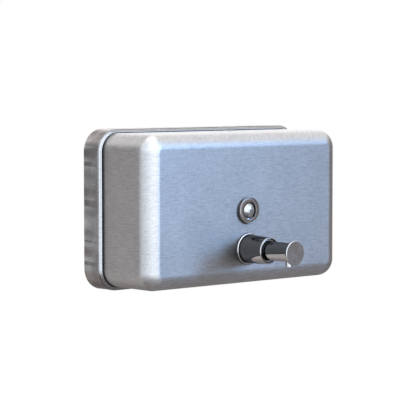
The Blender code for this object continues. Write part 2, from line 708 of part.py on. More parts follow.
def build_lock(axis):
    """The lock's pieces about its axis, with heights below the tank's top."""
    flange_top = -LID_SHEET - FACE_GAP
    flange_low = flange_top - LOCK_FLANGE[1]
    bore = BARREL_RADIUS + RUNNING_GAP
    housing = [
        (bore, 0.0),
        (LOCK_RADIUS, 0.0),
        (LOCK_RADIUS, flange_top),
        (LOCK_FLANGE_RADIUS, flange_top),
        (LOCK_FLANGE_RADIUS, flange_low),
        (LOCK_RADIUS, flange_low),
        (LOCK_RADIUS, -LOCK_DEPTH),
        (bore, -LOCK_DEPTH),
    ]
    turned("lock_housing", housing, CHROME, axis, PLAIN_STEPS)
    shank, head_radius, head_height = CAM_SCREW
    hole = shank + FACE_GAP
    barrel = [
        (0.0, -FACE_GAP),
        (BARREL_RADIUS, -FACE_GAP),
        (BARREL_RADIUS, -LOCK_DEPTH),
        (hole, -LOCK_DEPTH),
        (hole, -LOCK_DEPTH / 2),
        (0.0, -LOCK_DEPTH / 2),
    ]
    turned_barrel = turned("lock_barrel", barrel, CHROME, axis, PLAIN_STEPS)
    length, width, depth = KEY_SLOT
    slot = block((-length / 2, -width / 2, -depth), (length / 2, width / 2, OVERRUN))
    cut(turned_barrel, "key_slot", slot, axis)
    cam_top = -LOCK_DEPTH - FACE_GAP
    cam_low = cam_top - CAM_SHEET
    reach = LOCK_SETBACK + CAM_OVERLAP
    tongue = block((-CAM_WIDTH / 2, -CAM_WIDTH / 2, cam_low), (reach, CAM_WIDTH / 2, cam_top))
    bevel(tongue, edges_along(tongue, 2), CAM_WIDTH / 4, 3)
    cam = mesh_object("lock_cam", tongue, ZINC, axis)
    cut(cam, "cam_hole", rod(hole, (0, 0, cam_low - OVERRUN), (0, 0, cam_top + OVERRUN)), axis)
    head_top = cam_low - FACE_GAP
    screw = [
        (0.0, -LOCK_DEPTH / 2 - FACE_GAP),
        (shank, -LOCK_DEPTH / 2 - FACE_GAP),
        (shank, head_top),
        (head_radius, head_top),
        (head_radius, head_top - head_height + SCREW_CHAMFER),
        (head_radius - SCREW_CHAMFER, head_top - head_height),
        (0.0, head_top - head_height),
    ]
    turned("lock_cam_screw", screw, ZINC, axis, SCREW_STEPS)


# --- Sight window -----------------------------------------------------------------------


def build_window(axis):
    inner_ring = BEZEL_PROUD - BEZEL_STEP
    lens_bore = LENS_RADIUS + RUNNING_GAP
    half_proud = BEZEL_PROUD / 2
    bezel = [(BEZEL_MOUTH, inner_ring), (BEZEL_STEP_RADIUS - BEZEL_STEP, inner_ring)]
    bezel += [(BEZEL_STEP_RADIUS, BEZEL_PROUD)]
    bezel += arc((BEZEL_RADIUS - BEZEL_ROLL, half_proud), (BEZEL_ROLL, half_proud), 90, 0, 4)
    bezel += [
        (BEZEL_RADIUS, FACE_GAP),
        (BEZEL_STEM, FACE_GAP),
        (BEZEL_STEM, -BEZEL_STEM_LENGTH),
        (BEZEL_BORE, -BEZEL_STEM_LENGTH),
        (BEZEL_BORE, -BEZEL_SHOULDER),
        (lens_bore, -BEZEL_SHOULDER),
        (lens_bore, FACE_GAP),
        (BEZEL_MOUTH, FACE_GAP),
    ]
    turned("window_bezel", bezel, CHROME, axis)
    flange_radius = BEZEL_BORE - FACE_GAP
    flange_top = -BEZEL_SHOULDER - FACE_GAP
    flange_low = flange_top - LENS_FLANGE[1]
    lens = arc((0.0, LENS_RIM), (LENS_RADIUS, LENS_DOME), 90, 0, DOME_STEPS)
    lens[0] = (0.0, LENS_RIM + LENS_DOME)
    lens += [
        (LENS_RADIUS, flange_top),
        (flange_radius, flange_top),
        (flange_radius, flange_low),
        (LENS_RADIUS, flange_low),
        (LENS_RADIUS, -LENS_LENGTH),
        (0.0, -LENS_LENGTH),
    ]
    turned("window_lens", lens, LENS, axis)
    retainer_top = flange_low - FACE_GAP
    ring(
        "lens_retainer",
        flange_radius,
        lens_bore,
        retainer_top,
        retainer_top - RETAINER_HEIGHT,
        PLASTIC,
        axis,
    )
    gasket_top = INNER_FACE - FACE_GAP
    bore = BEZEL_STEM + FACE_GAP
    gasket_low = gasket_top - WASHER_HEIGHT
    ring("window_gasket", bore + WASHER_OVERHANG, bore, gasket_top, gasket_low, RUBBER, axis)
    hex_nut("window_nut", WINDOW_NUT, bore, gasket_low - FACE_GAP, ZINC, axis)


# --- Valve ------------------------------------------------------------------------------


def build_valve_trim(axis):
    front = ESCUTCHEON_FRONT
    edge = ESCUTCHEON_SHEET / 2
    disc = [(SLEEVE_BORE, front)]
    disc += arc((ESCUTCHEON_RADIUS - edge, front - edge), (edge, edge), 90, 0, 3)
    disc += [(ESCUTCHEON_RADIUS, FACE_GAP), (SLEEVE_BORE, FACE_GAP)]
    turned("valve_escutcheon", disc, CHROME, axis)
    widening, mouth_depth = SLEEVE_MOUTH
    mouth_radius = SLEEVE_BORE + widening
    base = front + FACE_GAP
    rim = SLEEVE_TIP - SLEEVE_EDGE
    sleeve = [(mouth_radius, SLEEVE_FRONT)]
    sleeve += arc((rim, SLEEVE_FRONT - SLEEVE_EDGE), (SLEEVE_EDGE, SLEEVE_EDGE), 90, 0, 3)
    sleeve += [
        (SLEEVE_BASE, base),
        (SLEEVE_BORE, base),
        (SLEEVE_BORE, SLEEVE_FRONT - mouth_depth),
        (mouth_radius, SLEEVE_FRONT - mouth_depth),
    ]
    turned("valve_sleeve", sleeve, CHROME, axis)
    gasket_top = INNER_FACE - FACE_GAP
    gasket_low = gasket_top - WASHER_HEIGHT
    rim = SLEEVE_BORE + WASHER_OVERHANG
    ring("valve_gasket", rim, SLEEVE_BORE, gasket_top, gasket_low, RUBBER, axis)
    hex_nut("valve_nut", VALVE_NUT, SLEEVE_BORE, gasket_low - FACE_GAP, ZINC, axis)


def build_cylinder(axis):
    top = SLEEVE_FRONT - CYLINDER_RECESS
    ring(
        "valve_cylinder",
        CYLINDER_RADIUS,
        CYLINDER_BORE,
        top,
        -CYLINDER_REACH,
        SATIN,
        axis,
        FINE_STEPS,
    )


def build_inlet(axis):
    """The seat with its ball cage in the cylinder's end, and the housing with the intake tube."""
    seat_radius = CYLINDER_BORE - FACE_GAP
    seat_low = -CYLINDER_REACH
    seat_top = seat_low + SEAT_HEIGHT
    port_top = seat_low + SEAT_WALL
    profile = [
        (CAGE_BORE, CAGE_TOP),
        (CAGE_RADIUS, CAGE_TOP),
        (CAGE_RADIUS, seat_top),
        (seat_radius, seat_top),
        (seat_radius, seat_low),
        (INLET_PORT, seat_low),
        (INLET_PORT, port_top),
        (CAGE_BORE, port_top),
    ]
    seat = turned("inlet_seat", profile, PLASTIC, axis, PLAIN_STEPS)
    reach = CAGE_RADIUS - FACE_GAP
    hole = rod(
        CAGE_PIN_RADIUS + FACE_GAP,
        (-CAGE_RADIUS - OVERRUN, 0, CAGE_PIN_Z),
        (CAGE_RADIUS + OVERRUN, 0, CAGE_PIN_Z),
        SCREW_STEPS,
    )
    cut(seat, "cage_pin_hole", hole, axis)
    pin = rod(CAGE_PIN_RADIUS, (-reach, 0, CAGE_PIN_Z), (reach, 0, CAGE_PIN_Z), SCREW_STEPS)
    mesh_object("cage_pin", pin, ZINC, axis)
    ball("inlet_ball", INLET_BALL, INLET_BALL_Z, axis)
    coil("inlet_spring", INLET_SPRING, INLET_SPRING_LOW, INLET_SPRING_HIGH, axis)
    spring = (RETURN_SPRING_RADIUS, *RETURN_SPRING)
    coil("return_spring", spring, seat_top + FACE_GAP, PISTON_REAR - FACE_GAP, axis)
    skirt_bore = CYLINDER_RADIUS + FACE_GAP
    wall_top = seat_low - FACE_GAP
    chamber = INLET_RADIUS - INLET_WALL
    chamber_low = wall_top - INLET_CHAMBER + INLET_WALL
    housing_profile = [
        (skirt_bore, seat_low + INLET_SKIRT),
        (INLET_RADIUS, seat_low + INLET_SKIRT),
        (INLET_RADIUS, chamber_low - INLET_WALL),
        (0.0, chamber_low - INLET_WALL),
        (0.0, chamber_low),
        (chamber - INLET_WALL, chamber_low),
        (chamber - INLET_WALL, wall_top),
        (skirt_bore, wall_top),
    ]
    housing = turned_cup("inlet_housing", housing_profile, PLASTIC, axis)
    tube_height = (wall_top + chamber_low) / 2
    port = rod(
        INTAKE_RADIUS + FACE_GAP, (0, 0, tube_height), (0, -INLET_RADIUS - OVERRUN, tube_height)
    )
    cut(housing, "intake_port", port, axis)
    floor = -TANK_HEIGHT / 2 + TANK_SHEET + INTAKE_FLOOR_GAP - VALVE_Z
    start = -(chamber - INLET_WALL)
    tube = rod(INTAKE_RADIUS, (0, start, tube_height), (0, floor, tube_height))
    intake = mesh_object("intake_tube", tube, PLASTIC, axis)
    bore_radius = INTAKE_RADIUS - INTAKE_WALL
    bore = rod(bore_radius, (0, start + OVERRUN, tube_height), (0, floor - OVERRUN, tube_height))
    cut(intake, "intake_bore", bore, axis)


def build_plunger(axis):
    cap_low = PUSH_FRONT - PUSH_CAP_HEIGHT
    tube_top = cap_low - FACE_GAP
    piston_top = PISTON_REAR + PISTON_HEIGHT
    tube_low = piston_top + FACE_GAP
    spring_seat = tube_low + OUTLET_SPRING_SPACE
    spout_height = PUSH_FRONT - SPOUT_SETBACK
    chamber_low = spout_height - SPOUT_RADIUS - FACE_GAP
    profile = [
        (SPOUT_CHAMBER, tube_top),
        (PLUNGER_RADIUS, tube_top),
        (PLUNGER_RADIUS, tube_low),
        (OUTLET_POCKET, tube_low),
        (OUTLET_POCKET, spring_seat),
        (PLUNGER_CHANNEL, spring_seat),
        (PLUNGER_CHANNEL, chamber_low),
        (SPOUT_CHAMBER, chamber_low),
    ]
    tube = turned("plunger_tube", profile, CHROME, axis)
    spout_hole = rod(
        SPOUT_RADIUS + FACE_GAP, (0, 0, spout_height), (0, -PLUNGER_RADIUS - OVERRUN, spout_height)
    )
    cut(tube, "spout_hole", spout_hole, axis)
    nozzle_top = -(SPOUT_CHAMBER + FACE_GAP)
    nozzle_low = -(PLUNGER_RADIUS + SPOUT_DROP)
    nozzle = rod(SPOUT_RADIUS, (0, nozzle_top, spout_height), (0, nozzle_low, spout_height))
    spout = mesh_object("spout_nozzle", nozzle, CHROME, axis)
    bore_radius = SPOUT_RADIUS - SPOUT_WALL
    bore = rod(
        bore_radius, (0, nozzle_top + OVERRUN, spout_height), (0, nozzle_low - OVERRUN, spout_height)
    )
    cut(spout, "spout_bore", bore, axis)
    stem_radius = SPOUT_CHAMBER - FACE_GAP
    rim = PUSH_CAP_RADIUS - PUSH_CAP_EDGE
    cap = [(0.0, PUSH_FRONT)]
    cap += arc((rim, PUSH_FRONT - PUSH_CAP_EDGE), (PUSH_CAP_EDGE, PUSH_CAP_EDGE), 90, 0, 3)
    cap += [
        (PUSH_CAP_RADIUS, cap_low),
        (stem_radius, cap_low),
        (stem_radius, cap_low - PUSH_CAP_STEM),
        (0.0, cap_low - PUSH_CAP_STEM),
    ]
    turned("push_cap", cap, CHROME, axis)
    build_piston(axis, piston_top, spring_seat)


def build_piston(axis, piston_top, spring_seat):
    groove_depth, groove_height = PISTON_GROOVE
    outer = CYLINDER_BORE - RUNNING_GAP
    groove_radius = outer - groove_depth
    middle = PISTON_REAR + PISTON_HEIGHT / 2
    groove_top = middle + groove_height / 2
    groove_low = middle - groove_height / 2
    port_top = PISTON_REAR + SEAT_WALL
    profile = [
        (OUTLET_POCKET, piston_top),
        (outer, piston_top),
        (outer, groove_top),
        (groove_radius, groove_top),
        (groove_radius, groove_low),
        (outer, groove_low),
        (outer, PISTON_REAR),
        (OUTLET_PORT, PISTON_REAR),
        (OUTLET_PORT, port_top),
        (OUTLET_POCKET, port_top),
    ]
    turned("piston", profile, PLASTIC, axis, PLAIN_STEPS)
    seal_top, seal_low = groove_top - FACE_GAP, groove_low + FACE_GAP
    ring("piston_seal", outer, groove_radius + FACE_GAP, seal_top, seal_low, RUBBER, axis)
    rest = port_top + math.sqrt(OUTLET_BALL**2 - OUTLET_PORT**2) + FACE_GAP
    ball("outlet_ball", OUTLET_BALL, rest, axis)
    spring_low = rest + OUTLET_BALL + FACE_GAP
    coil("outlet_spring", OUTLET_SPRING, spring_low, spring_seat - FACE_GAP, axis)


def build_dispenser():
    build_front_shell()
    build_rear_shroud()
    build_tank_back()
    build_hanger_rail()
    build_wall_plate()
    build_wall_screws()
    build_lock_screws()
    hinge = add_axis("lid_hinge_axis", (0, HINGE_Y, HINGE_Z))
    lock = add_axis("lid_lock_axis", (0, LOCK_Y - HINGE_Y, TANK_TOP - HINGE_Z), parent=hinge)
    build_filler_frame()
    build_lid_gasket()
    build_filler_lid(hinge)
    build_hinge_pin(hinge)
    build_lock(lock)
    forward = (math.pi / 2, 0, 0)
    build_window(add_axis("window_axis", (0, FACE_Y, WINDOW_Z), forward))
    valve = add_axis("valve_axis", (0, FACE_Y, VALVE_Z), forward)
    build_valve_trim(valve)
    build_cylinder(valve)
    build_inlet(valve)
    plunger = add_axis("plunger_axis", (0, FACE_Y, VALVE_Z), forward)
    build_plunger(plunger)


build_dispenser()
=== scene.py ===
"""Looks of the wall mounted soap dispenser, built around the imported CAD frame.

Metres, +Z up, the wall on the +Y side and the front towards -Y, as in the CAD model.
"""

import json
import math

import bmesh
import bpy
from mathutils import Matrix, Vector


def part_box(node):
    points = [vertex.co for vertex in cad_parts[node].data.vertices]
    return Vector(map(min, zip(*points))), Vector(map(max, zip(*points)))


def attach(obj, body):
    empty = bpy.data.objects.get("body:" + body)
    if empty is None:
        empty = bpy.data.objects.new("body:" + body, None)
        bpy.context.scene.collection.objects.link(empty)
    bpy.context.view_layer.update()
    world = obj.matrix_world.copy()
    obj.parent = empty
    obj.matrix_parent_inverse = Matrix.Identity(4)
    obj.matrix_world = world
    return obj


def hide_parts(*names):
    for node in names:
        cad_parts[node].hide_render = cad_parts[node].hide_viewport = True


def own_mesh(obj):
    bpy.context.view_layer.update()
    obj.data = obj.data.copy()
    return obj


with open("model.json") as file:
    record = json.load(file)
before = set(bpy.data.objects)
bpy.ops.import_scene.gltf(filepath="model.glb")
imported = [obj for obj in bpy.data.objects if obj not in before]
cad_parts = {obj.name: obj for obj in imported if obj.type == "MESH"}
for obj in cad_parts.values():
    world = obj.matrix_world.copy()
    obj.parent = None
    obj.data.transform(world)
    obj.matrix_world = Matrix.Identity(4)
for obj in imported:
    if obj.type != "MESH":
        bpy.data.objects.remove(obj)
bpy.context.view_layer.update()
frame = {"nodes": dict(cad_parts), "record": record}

MM = 0.001

# ---------------------------------------------------------------- places read from the frame

SHROUD_LOW, SHROUD_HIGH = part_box("rear_shroud")
SHELL_LOW, SHELL_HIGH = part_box("front_shell")
SLEEVE_LOW, SLEEVE_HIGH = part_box("valve_sleeve")
BEZEL_LOW, BEZEL_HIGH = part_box("window_bezel")
LID_LOW, LID_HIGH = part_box("filler_lid")
FRAME_LOW, FRAME_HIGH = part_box("filler_frame")

BODY_WIDTH = SHROUD_HIGH.x - SHROUD_LOW.x
BODY_HEIGHT = SHROUD_HIGH.z - SHROUD_LOW.z
LIP_Y = SHROUD_LOW.y
FACE_Y = SHELL_LOW.y
FLANGE_REAR = SHELL_HIGH.y
VALVE_Z = (SLEEVE_LOW.z + SLEEVE_HIGH.z) / 2
WINDOW_Z = (BEZEL_LOW.z + BEZEL_HIGH.z) / 2
CAP_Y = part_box("push_cap")[0].y
CYLINDER_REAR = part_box("valve_cylinder")[1].y

# Sheet metal sizes, as the CAD model has them.
SHEET = 1.0 * MM
LIP_SIDE, LIP_TOP = 3.25 * MM, 2.9 * MM  # from the shroud's outside to the tank's
TANK_WIDTH = BODY_WIDTH - 2 * LIP_SIDE
TANK_HEIGHT = BODY_HEIGHT - 2 * LIP_TOP
BODY_CORNER = 17.0 * MM
TANK_CORNER = 13.5 * MM
TANK_FILLET = 11.6 * MM
TANK_TOP = TANK_HEIGHT / 2
FLANGE_WIDTH = 1.4 * MM
KNUCKLE_RADIUS = 2.2 * MM  # of the lid's hinge
HINGE_Y = LID_HIGH.y - KNUCKLE_RADIUS

LIP_GAP = 0.2 * MM  # between lip and tank, narrower than in CAD
FLAT = 0.999  # the least share of a length or a normal that counts as along an axis


def middle(name):
    """The middle of a CAD node's box."""
    low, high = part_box(name)
    return (low + high) / 2


LOCK_Y = middle("lock_housing").y

# ---------------------------------------------------------------- mesh helpers


def add_piece(name, mesh, material, body, slot, *replaced):
    """A finished piece that rides on a CAD body and stands for the CAD nodes named last."""
    obj = bpy.data.objects.new(name, mesh)
    bpy.context.scene.collection.objects.link(obj)
    mesh.materials.append(material)
    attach(obj, body)
    if replaced:
        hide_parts(*replaced)
    return obj


def new_mesh(name, bm, sharp=35):
    bmesh.ops.recalc_face_normals(bm, faces=bm.faces)
    mesh = bpy.data.meshes.new(name)
    bm.to_mesh(mesh)
    bm.free()
    mesh.shade_smooth()
    mesh.set_sharp_from_angle(angle=math.radians(sharp))
    return mesh


def applied(obj):
    """The object with its modifiers applied."""
    graph = bpy.context.evaluated_depsgraph_get()
    mesh = bpy.data.meshes.new_from_object(obj.evaluated_get(graph))
    obj.modifiers.clear()
    obj.data = mesh
    return obj


def weighted_normals(obj):
    modifier = obj.modifiers.new("normals", "WEIGHTED_NORMAL")
    modifier.mode = "FACE_AREA"
    modifier.weight = 60
    modifier.keep_sharp = True


def outline(width, height, corner, corner_steps, spacing):
    """A rounded rectangle in XZ as (point, outward direction), from the start of the upper right corner.

    The straight sides get points about that spacing apart."""
    points = []
    half_x, half_z = width / 2 - corner, height / 2 - corner
    quarters = ((half_x, half_z, 0), (-half_x, half_z, 90), (-half_x, -half_z, 180), (half_x, -half_z, 270))
    for index, (x, z, start) in enumerate(quarters):
        for step in range(corner_steps + 1):
            angle = math.radians(start + 90 * step / corner_steps)
            way = Vector((math.cos(angle), 0, math.sin(angle)))
            points.append((Vector((x, 0, z)) + way * corner, way))
        next_x, next_z, _ = quarters[(index + 1) % 4]
        run = Vector((next_x - x, 0, next_z - z))
        count = max(1, round(run.length / spacing))
        first, way = points[-1]
        for step in range(1, count):
            points.append((first + run * step / count, way))
    return points


def loft(bm, rings, closed_path=False):
    """Quads between rings of equally many points. Each ring is closed."""
    made = [[bm.verts.new(point) for point in ring] for ring in rings]
    pairs = list(zip(made, made[1:]))
    if closed_path:
        pairs.append((made[-1], made[0]))
    for first, second in pairs:
        for index in range(len(first)):
            after = (index + 1) % len(first)
            bm.faces.new((first[index], first[after], second[after], second[index]))
    return made


def rounded_path(corners):
    """Points of a closed path whose corners are rounded. A corner is (u, v, radius, steps)."""
    points = []
    for index, (u, v, radius, steps) in enumerate(corners):
        here = Vector((u, v))
        if radius <= 0:
            points.append((u, v))
            continue
        before = (Vector(corners[index - 1][:2]) - here).normalized()
        after = (Vector(corners[(index + 1) % len(corners)][:2]) - here).normalized()
        half = before.angle(after) / 2
        reach = radius / math.tan(half)
        start, end = here + before * reach, here + after * reach
        center = here + (before + after).normalized() * (radius / math.sin(half))
        first, last = start - center, end - center
        sweep = first.angle_signed(last)
        for step in range(steps + 1):
            turn = Matrix.Rotation(-sweep * step / steps, 2)
            spot = center + turn @ first
            points.append((spot.x, spot.y))
    return points


def in_mm(rows):
    """A closed path from corners in millimetres: (u, v), or (u, v, radius, steps) for a round one."""
    corners = []
    for row in rows:
        u, v, radius, steps = (*row, 0, 0)[:4]
        corners.append((u * MM, v * MM, radius * MM, steps))
    return rounded_path(corners)


def arc(center_u, center_v, radius, start, end, steps):
    """(u, v) points of an arc between two angles in degrees, both ends included."""
    points = []
    for step in range(steps + 1):
        angle = math.radians(start + (end - start) * step / steps)
        points.append((center_u + radius * math.cos(angle), center_v + radius * math.sin(angle)))
    return points


def lathe(name, profile, center, steps=96, axis="-Y", sharp=35):
    """A turned mesh. The profile is (radius, height) points, closed through the axis or on itself.

    Height runs forward, to -Y, or up, to +Z."""
    bm = bmesh.new()
    rings = []
    for radius, height in profile:
        if radius < 1e-9:
            rings.append([bm.verts.new((0, 0, height))])
            continue
        ring = []
        for step in range(steps):
            angle = 2 * math.pi * step / steps
            ring.append(bm.verts.new((radius * math.cos(angle), radius * math.sin(angle), height)))
        rings.append(ring)
    pairs = list(zip(rings, rings[1:]))
    if len(rings[0]) > 1 and len(rings[-1]) > 1:
        pairs.append((rings[-1], rings[0]))
    for first, second in pairs:
        for index in range(steps):
            after = (index + 1) % steps
            corners = [first[index % len(first)], first[after % len(first)]]
            corners += [second[after % len(second)], second[index % len(second)]]
            unique = list(dict.fromkeys(corners))
            if len(unique) > 2:
                bm.faces.new(unique)
    if axis == "-Y":
        bmesh.ops.rotate(bm, matrix=Matrix.Rotation(math.pi / 2, 3, "X"), verts=bm.verts)
    bmesh.ops.translate(bm, vec=center, verts=bm.verts)
    return new_mesh(name, bm, sharp)


def block(low, high):
    low, high = Vector(low), Vector(high)
    bm = bmesh.new()
    bmesh.ops.create_cube(bm, size=1.0)
    bmesh.ops.scale(bm, vec=high - low, verts=bm.verts)
    bmesh.ops.translate(bm, vec=(high + low) / 2, verts=bm.verts)
    bm.normal_update()
    return bm


def rod(radius, start, end, steps=64):
    start, end = Vector(start), Vector(end)
    run = end - start
    bm = bmesh.new()
    bmesh.ops.create_cone(
        bm, cap_ends=True, segments=steps, radius1=radius, radius2=radius, depth=run.length
    )
    turn = Vector((0, 0, 1)).rotation_difference(run).to_matrix().to_4x4()
    bmesh.ops.transform(bm, matrix=Matrix.Translation((start + end) / 2) @ turn, verts=bm.verts)
    return bm


def edges_along(bm, axis):
    found = []
    for edge in bm.edges:
        run = edge.verts[1].co - edge.verts[0].co
        if abs(run[axis]) > FLAT * run.length:
            found.append(edge)
    return found


def rim(bm, axis, *signs):
    """The edges of the flat faces that look along an axis, to the sides of the given signs."""
    faces = [face for face in bm.faces if any(face.normal[axis] * sign > FLAT for sign in signs)]
    return [edge for face in faces for edge in face.edges]


def bevel(bm, edges, radius, steps):
    bmesh.ops.bevel(bm, geom=edges, offset=radius, segments=steps, profile=0.5, affect="EDGES")
    bm.normal_update()


def boolean(obj, bm, operation="DIFFERENCE"):
    """Cuts bm from the object, or joins it, at once."""
    helper = bpy.data.objects.new("helper", new_mesh("helper", bm))
    bpy.context.scene.collection.objects.link(helper)
    modifier = obj.modifiers.new("boolean", "BOOLEAN")
    modifier.operation = operation
    modifier.object = helper
    applied(obj)
    bpy.data.objects.remove(helper, do_unlink=True)


def resharpen(obj, angle=30):
    obj.data.shade_smooth()
    obj.data.set_sharp_from_angle(angle=math.radians(angle))


def prism(section, low, high):
    """A (y, z) section drawn along X from low to high."""
    bm = bmesh.new()
    for ring in loft(bm, [[Vector((x, y, z)) for y, z in section] for x in (low, high)]):
        bm.faces.new(ring)
    bmesh.ops.recalc_face_normals(bm, faces=bm.faces)
    return bm


def folded_section(path, thickness, inner):
    """The outline of a sheet folded along a middle line of (y, z) points, with round bends."""
    left, right = [], []
    half = thickness / 2
    end_radius, steps = 0.2 * MM, 6
    for index, point in enumerate(path):
        here = Vector(point)
        before = (here - Vector(path[index - 1])).normalized() if index else None
        after = (Vector(path[index + 1]) - here).normalized() if index + 1 < len(path) else None
        sides = [Vector((-way.y, way.x)) for way in (before, after) if way]
        offset = sum(sides, Vector((0, 0)))
        offset = offset * (half / offset.dot(sides[0]))
        near, far = here + offset, here - offset
        radii = (end_radius, end_radius)
        if before and after:
            turns_left = before.cross(after) > 0
            radii = (inner, inner + thickness) if turns_left else (inner + thickness, inner)
        left.append((near.x, near.y, radii[0], steps))
        right.append((far.x, far.y, radii[1], steps))
    return rounded_path(left + right[::-1])


def slab(width, height, corner, front, rear, softness):
    """A plate in XZ with round corners and softened front and rear edges."""
    bm = block((-width / 2, front, -height / 2), (width / 2, rear, height / 2))
    bevel(bm, edges_along(bm, 1), corner, 20)
    bevel(bm, rim(bm, 1, -1, 1), softness, 3)
    return bm


def helix(name, radius, wire, turns, center, front, rear):
    """A compression spring about a line along Y, with its end turns wound flat."""
    steps, sides = 28, 12
    count = round(turns * steps)
    low, high = rear - wire, front + wire
    flat = 0.75 / turns  # the share of the wire in each flat end
    points = []
    for index in range(count + 1):
        share = index / count
        rise = min(max((share - flat) / (1 - 2 * flat), 0.0), 1.0)
        angle = 2 * math.pi * turns * share
        spot = (radius * math.cos(angle), low + (high - low) * rise, radius * math.sin(angle))
        points.append(Vector(spot) + Vector(center))
    rings = []
    for index, point in enumerate(points):
        ahead = points[min(index + 1, count)] - points[max(index - 1, 0)]
        outward = Vector((point.x - center[0], 0, point.z - center[2])).normalized()
        across = ahead.cross(outward).normalized()
        ring = []
        for side in range(sides):
            angle = 2 * math.pi * side / sides
            ring.append(point + (outward * math.cos(angle) + across * math.sin(angle)) * wire)
        rings.append(ring)
    bm = bmesh.new()
    made = loft(bm, rings)
    for ring in (made[0], made[-1]):
        bm.faces.new(ring)
    return new_mesh(name, bm, 60)


def cross_recess(obj, center, way, width, depth):
    """Cuts a cross for a screwdriver into a screw's head."""
    center, way = Vector(center), Vector(way)
    for turn in (45, 135):
        bm = block((-width / 2, -width / 7, -depth), (width / 2, width / 7, depth))
        spin = Matrix.Rotation(math.radians(turn), 4, "Z")
        aim = Vector((0, 0, 1)).rotation_difference(way).to_matrix().to_4x4()
        bmesh.ops.transform(bm, matrix=Matrix.Translation(center) @ aim @ spin, verts=bm.verts)
        boolean(obj, bm)
    resharpen(obj)


# ---------------------------------------------------------------- materials


class Nodes:
    """A Principled material with short calls for its nodes."""

    def __init__(self, name, color, metallic, roughness):
        self.material = bpy.data.materials.new(name)
        self.material.use_nodes = True
        self.tree = self.material.node_tree
        self.shader = self.tree.nodes["Principled BSDF"]
        self.shader.inputs["Base Color"].default_value = (*color, 1)
        self.shader.inputs["Metallic"].default_value = metallic
        self.shader.inputs["Roughness"].default_value = roughness
        self.position = self.add("ShaderNodeTexCoord").outputs["Object"]

    def add(self, kind, **settings):
        node = self.tree.nodes.new(kind)
        for key, value in settings.items():
            setattr(node, key, value)
        return node

    def link(self, source, target):
        self.tree.links.new(source, target)

    def fill(self, socket, value):
        if hasattr(value, "is_output"):
            self.link(value, socket)
        else:
            socket.default_value = value

    def math(self, operation, first, second=0.0):
        node = self.add("ShaderNodeMath", operation=operation)
        self.fill(node.inputs[0], first)
        self.fill(node.inputs[1], second)
        return node.outputs[0]

    def dot(self, vector, direction):
        node = self.add("ShaderNodeVectorMath", operation="DOT_PRODUCT")
        self.fill(node.inputs[0], vector)
        node.inputs[1].default_value = direction
        return node.outputs["Value"]

    def combine(self, x, y):
        node = self.add("ShaderNodeCombineXYZ")
        self.fill(node.inputs["X"], x)
        self.fill(node.inputs["Y"], y)
        return node.outputs[0]

    def noise(self, vector, scale, detail=2.0, roughness=0.5, distortion=0.0):
        """Fractal noise. On positions, the scale is in cells to the metre."""
        node = self.add("ShaderNodeTexNoise", noise_dimensions="3D")
        self.fill(node.inputs["Vector"], vector)
        node.inputs["Scale"].default_value = scale
        node.inputs["Detail"].default_value = detail
        node.inputs["Roughness"].default_value = roughness
        node.inputs["Distortion"].default_value = distortion
        return node.outputs["Fac"]

    def remap(self, value, low, high, to_low, to_high):
        node = self.add("ShaderNodeMapRange", interpolation_type="LINEAR")
        for socket, given in zip(node.inputs, (value, low, high, to_low, to_high)):
            self.fill(socket, given)
        return node.outputs["Result"]

    def mix(self, factor, first, second):
        node = self.add("ShaderNodeMix", data_type="RGBA")
        self.fill(node.inputs["Factor"], factor)
        for name, value in (("A", first), ("B", second)):
            socket = next(s for s in node.inputs if s.name == name and s.type == "RGBA")
            self.fill(socket, value if hasattr(value, "is_output") else (*value, 1))
        return next(s for s in node.outputs if s.type == "RGBA")

    def bump(self, height, distance, strength=1.0, normal=None):
        node = self.add("ShaderNodeBump")
        node.inputs["Strength"].default_value = strength
        node.inputs["Distance"].default_value = distance
        self.fill(node.inputs["Height"], height)
        if normal is not None:
            self.link(normal, node.inputs["Normal"])
        return node.outputs["Normal"]

    def blend(self, share, first, second):
        """The first value where share is 0 and the second where it is 1."""
        node = self.add("ShaderNodeMix", data_type="FLOAT")
        self.fill(node.inputs[0], share)
        self.fill(node.inputs[2], first)
        self.fill(node.inputs[3], second)
        return node.outputs[0]

    def color(self, source):
        self.link(source, self.shader.inputs["Base Color"])

    def roughness(self, source):
        self.link(source, self.shader.inputs["Roughness"])

    def normal(self, source):
        self.link(source, self.shader.inputs["Normal"])


def scaled(color, factor):
    return tuple(channel * factor for channel in color)


def streaks(nodes, along, across, length, thickness):
    """Noise drawn out into brush marks of that length and thickness."""
    run = nodes.math("MULTIPLY", nodes.dot(nodes.position, along), 1 / length)
    width = nodes.math("MULTIPLY", nodes.dot(nodes.position, across), 1 / thickness)
    return nodes.noise(nodes.combine(run, width), 1.0, 3.0, 0.6)


def weighted(nodes, *terms):
    """The sum of the values, each by its weight."""
    total = None
    for value, weight in terms:
        share = nodes.math("MULTIPLY", value, weight)
        total = share if total is None else nodes.math("ADD", total, share)
    return total


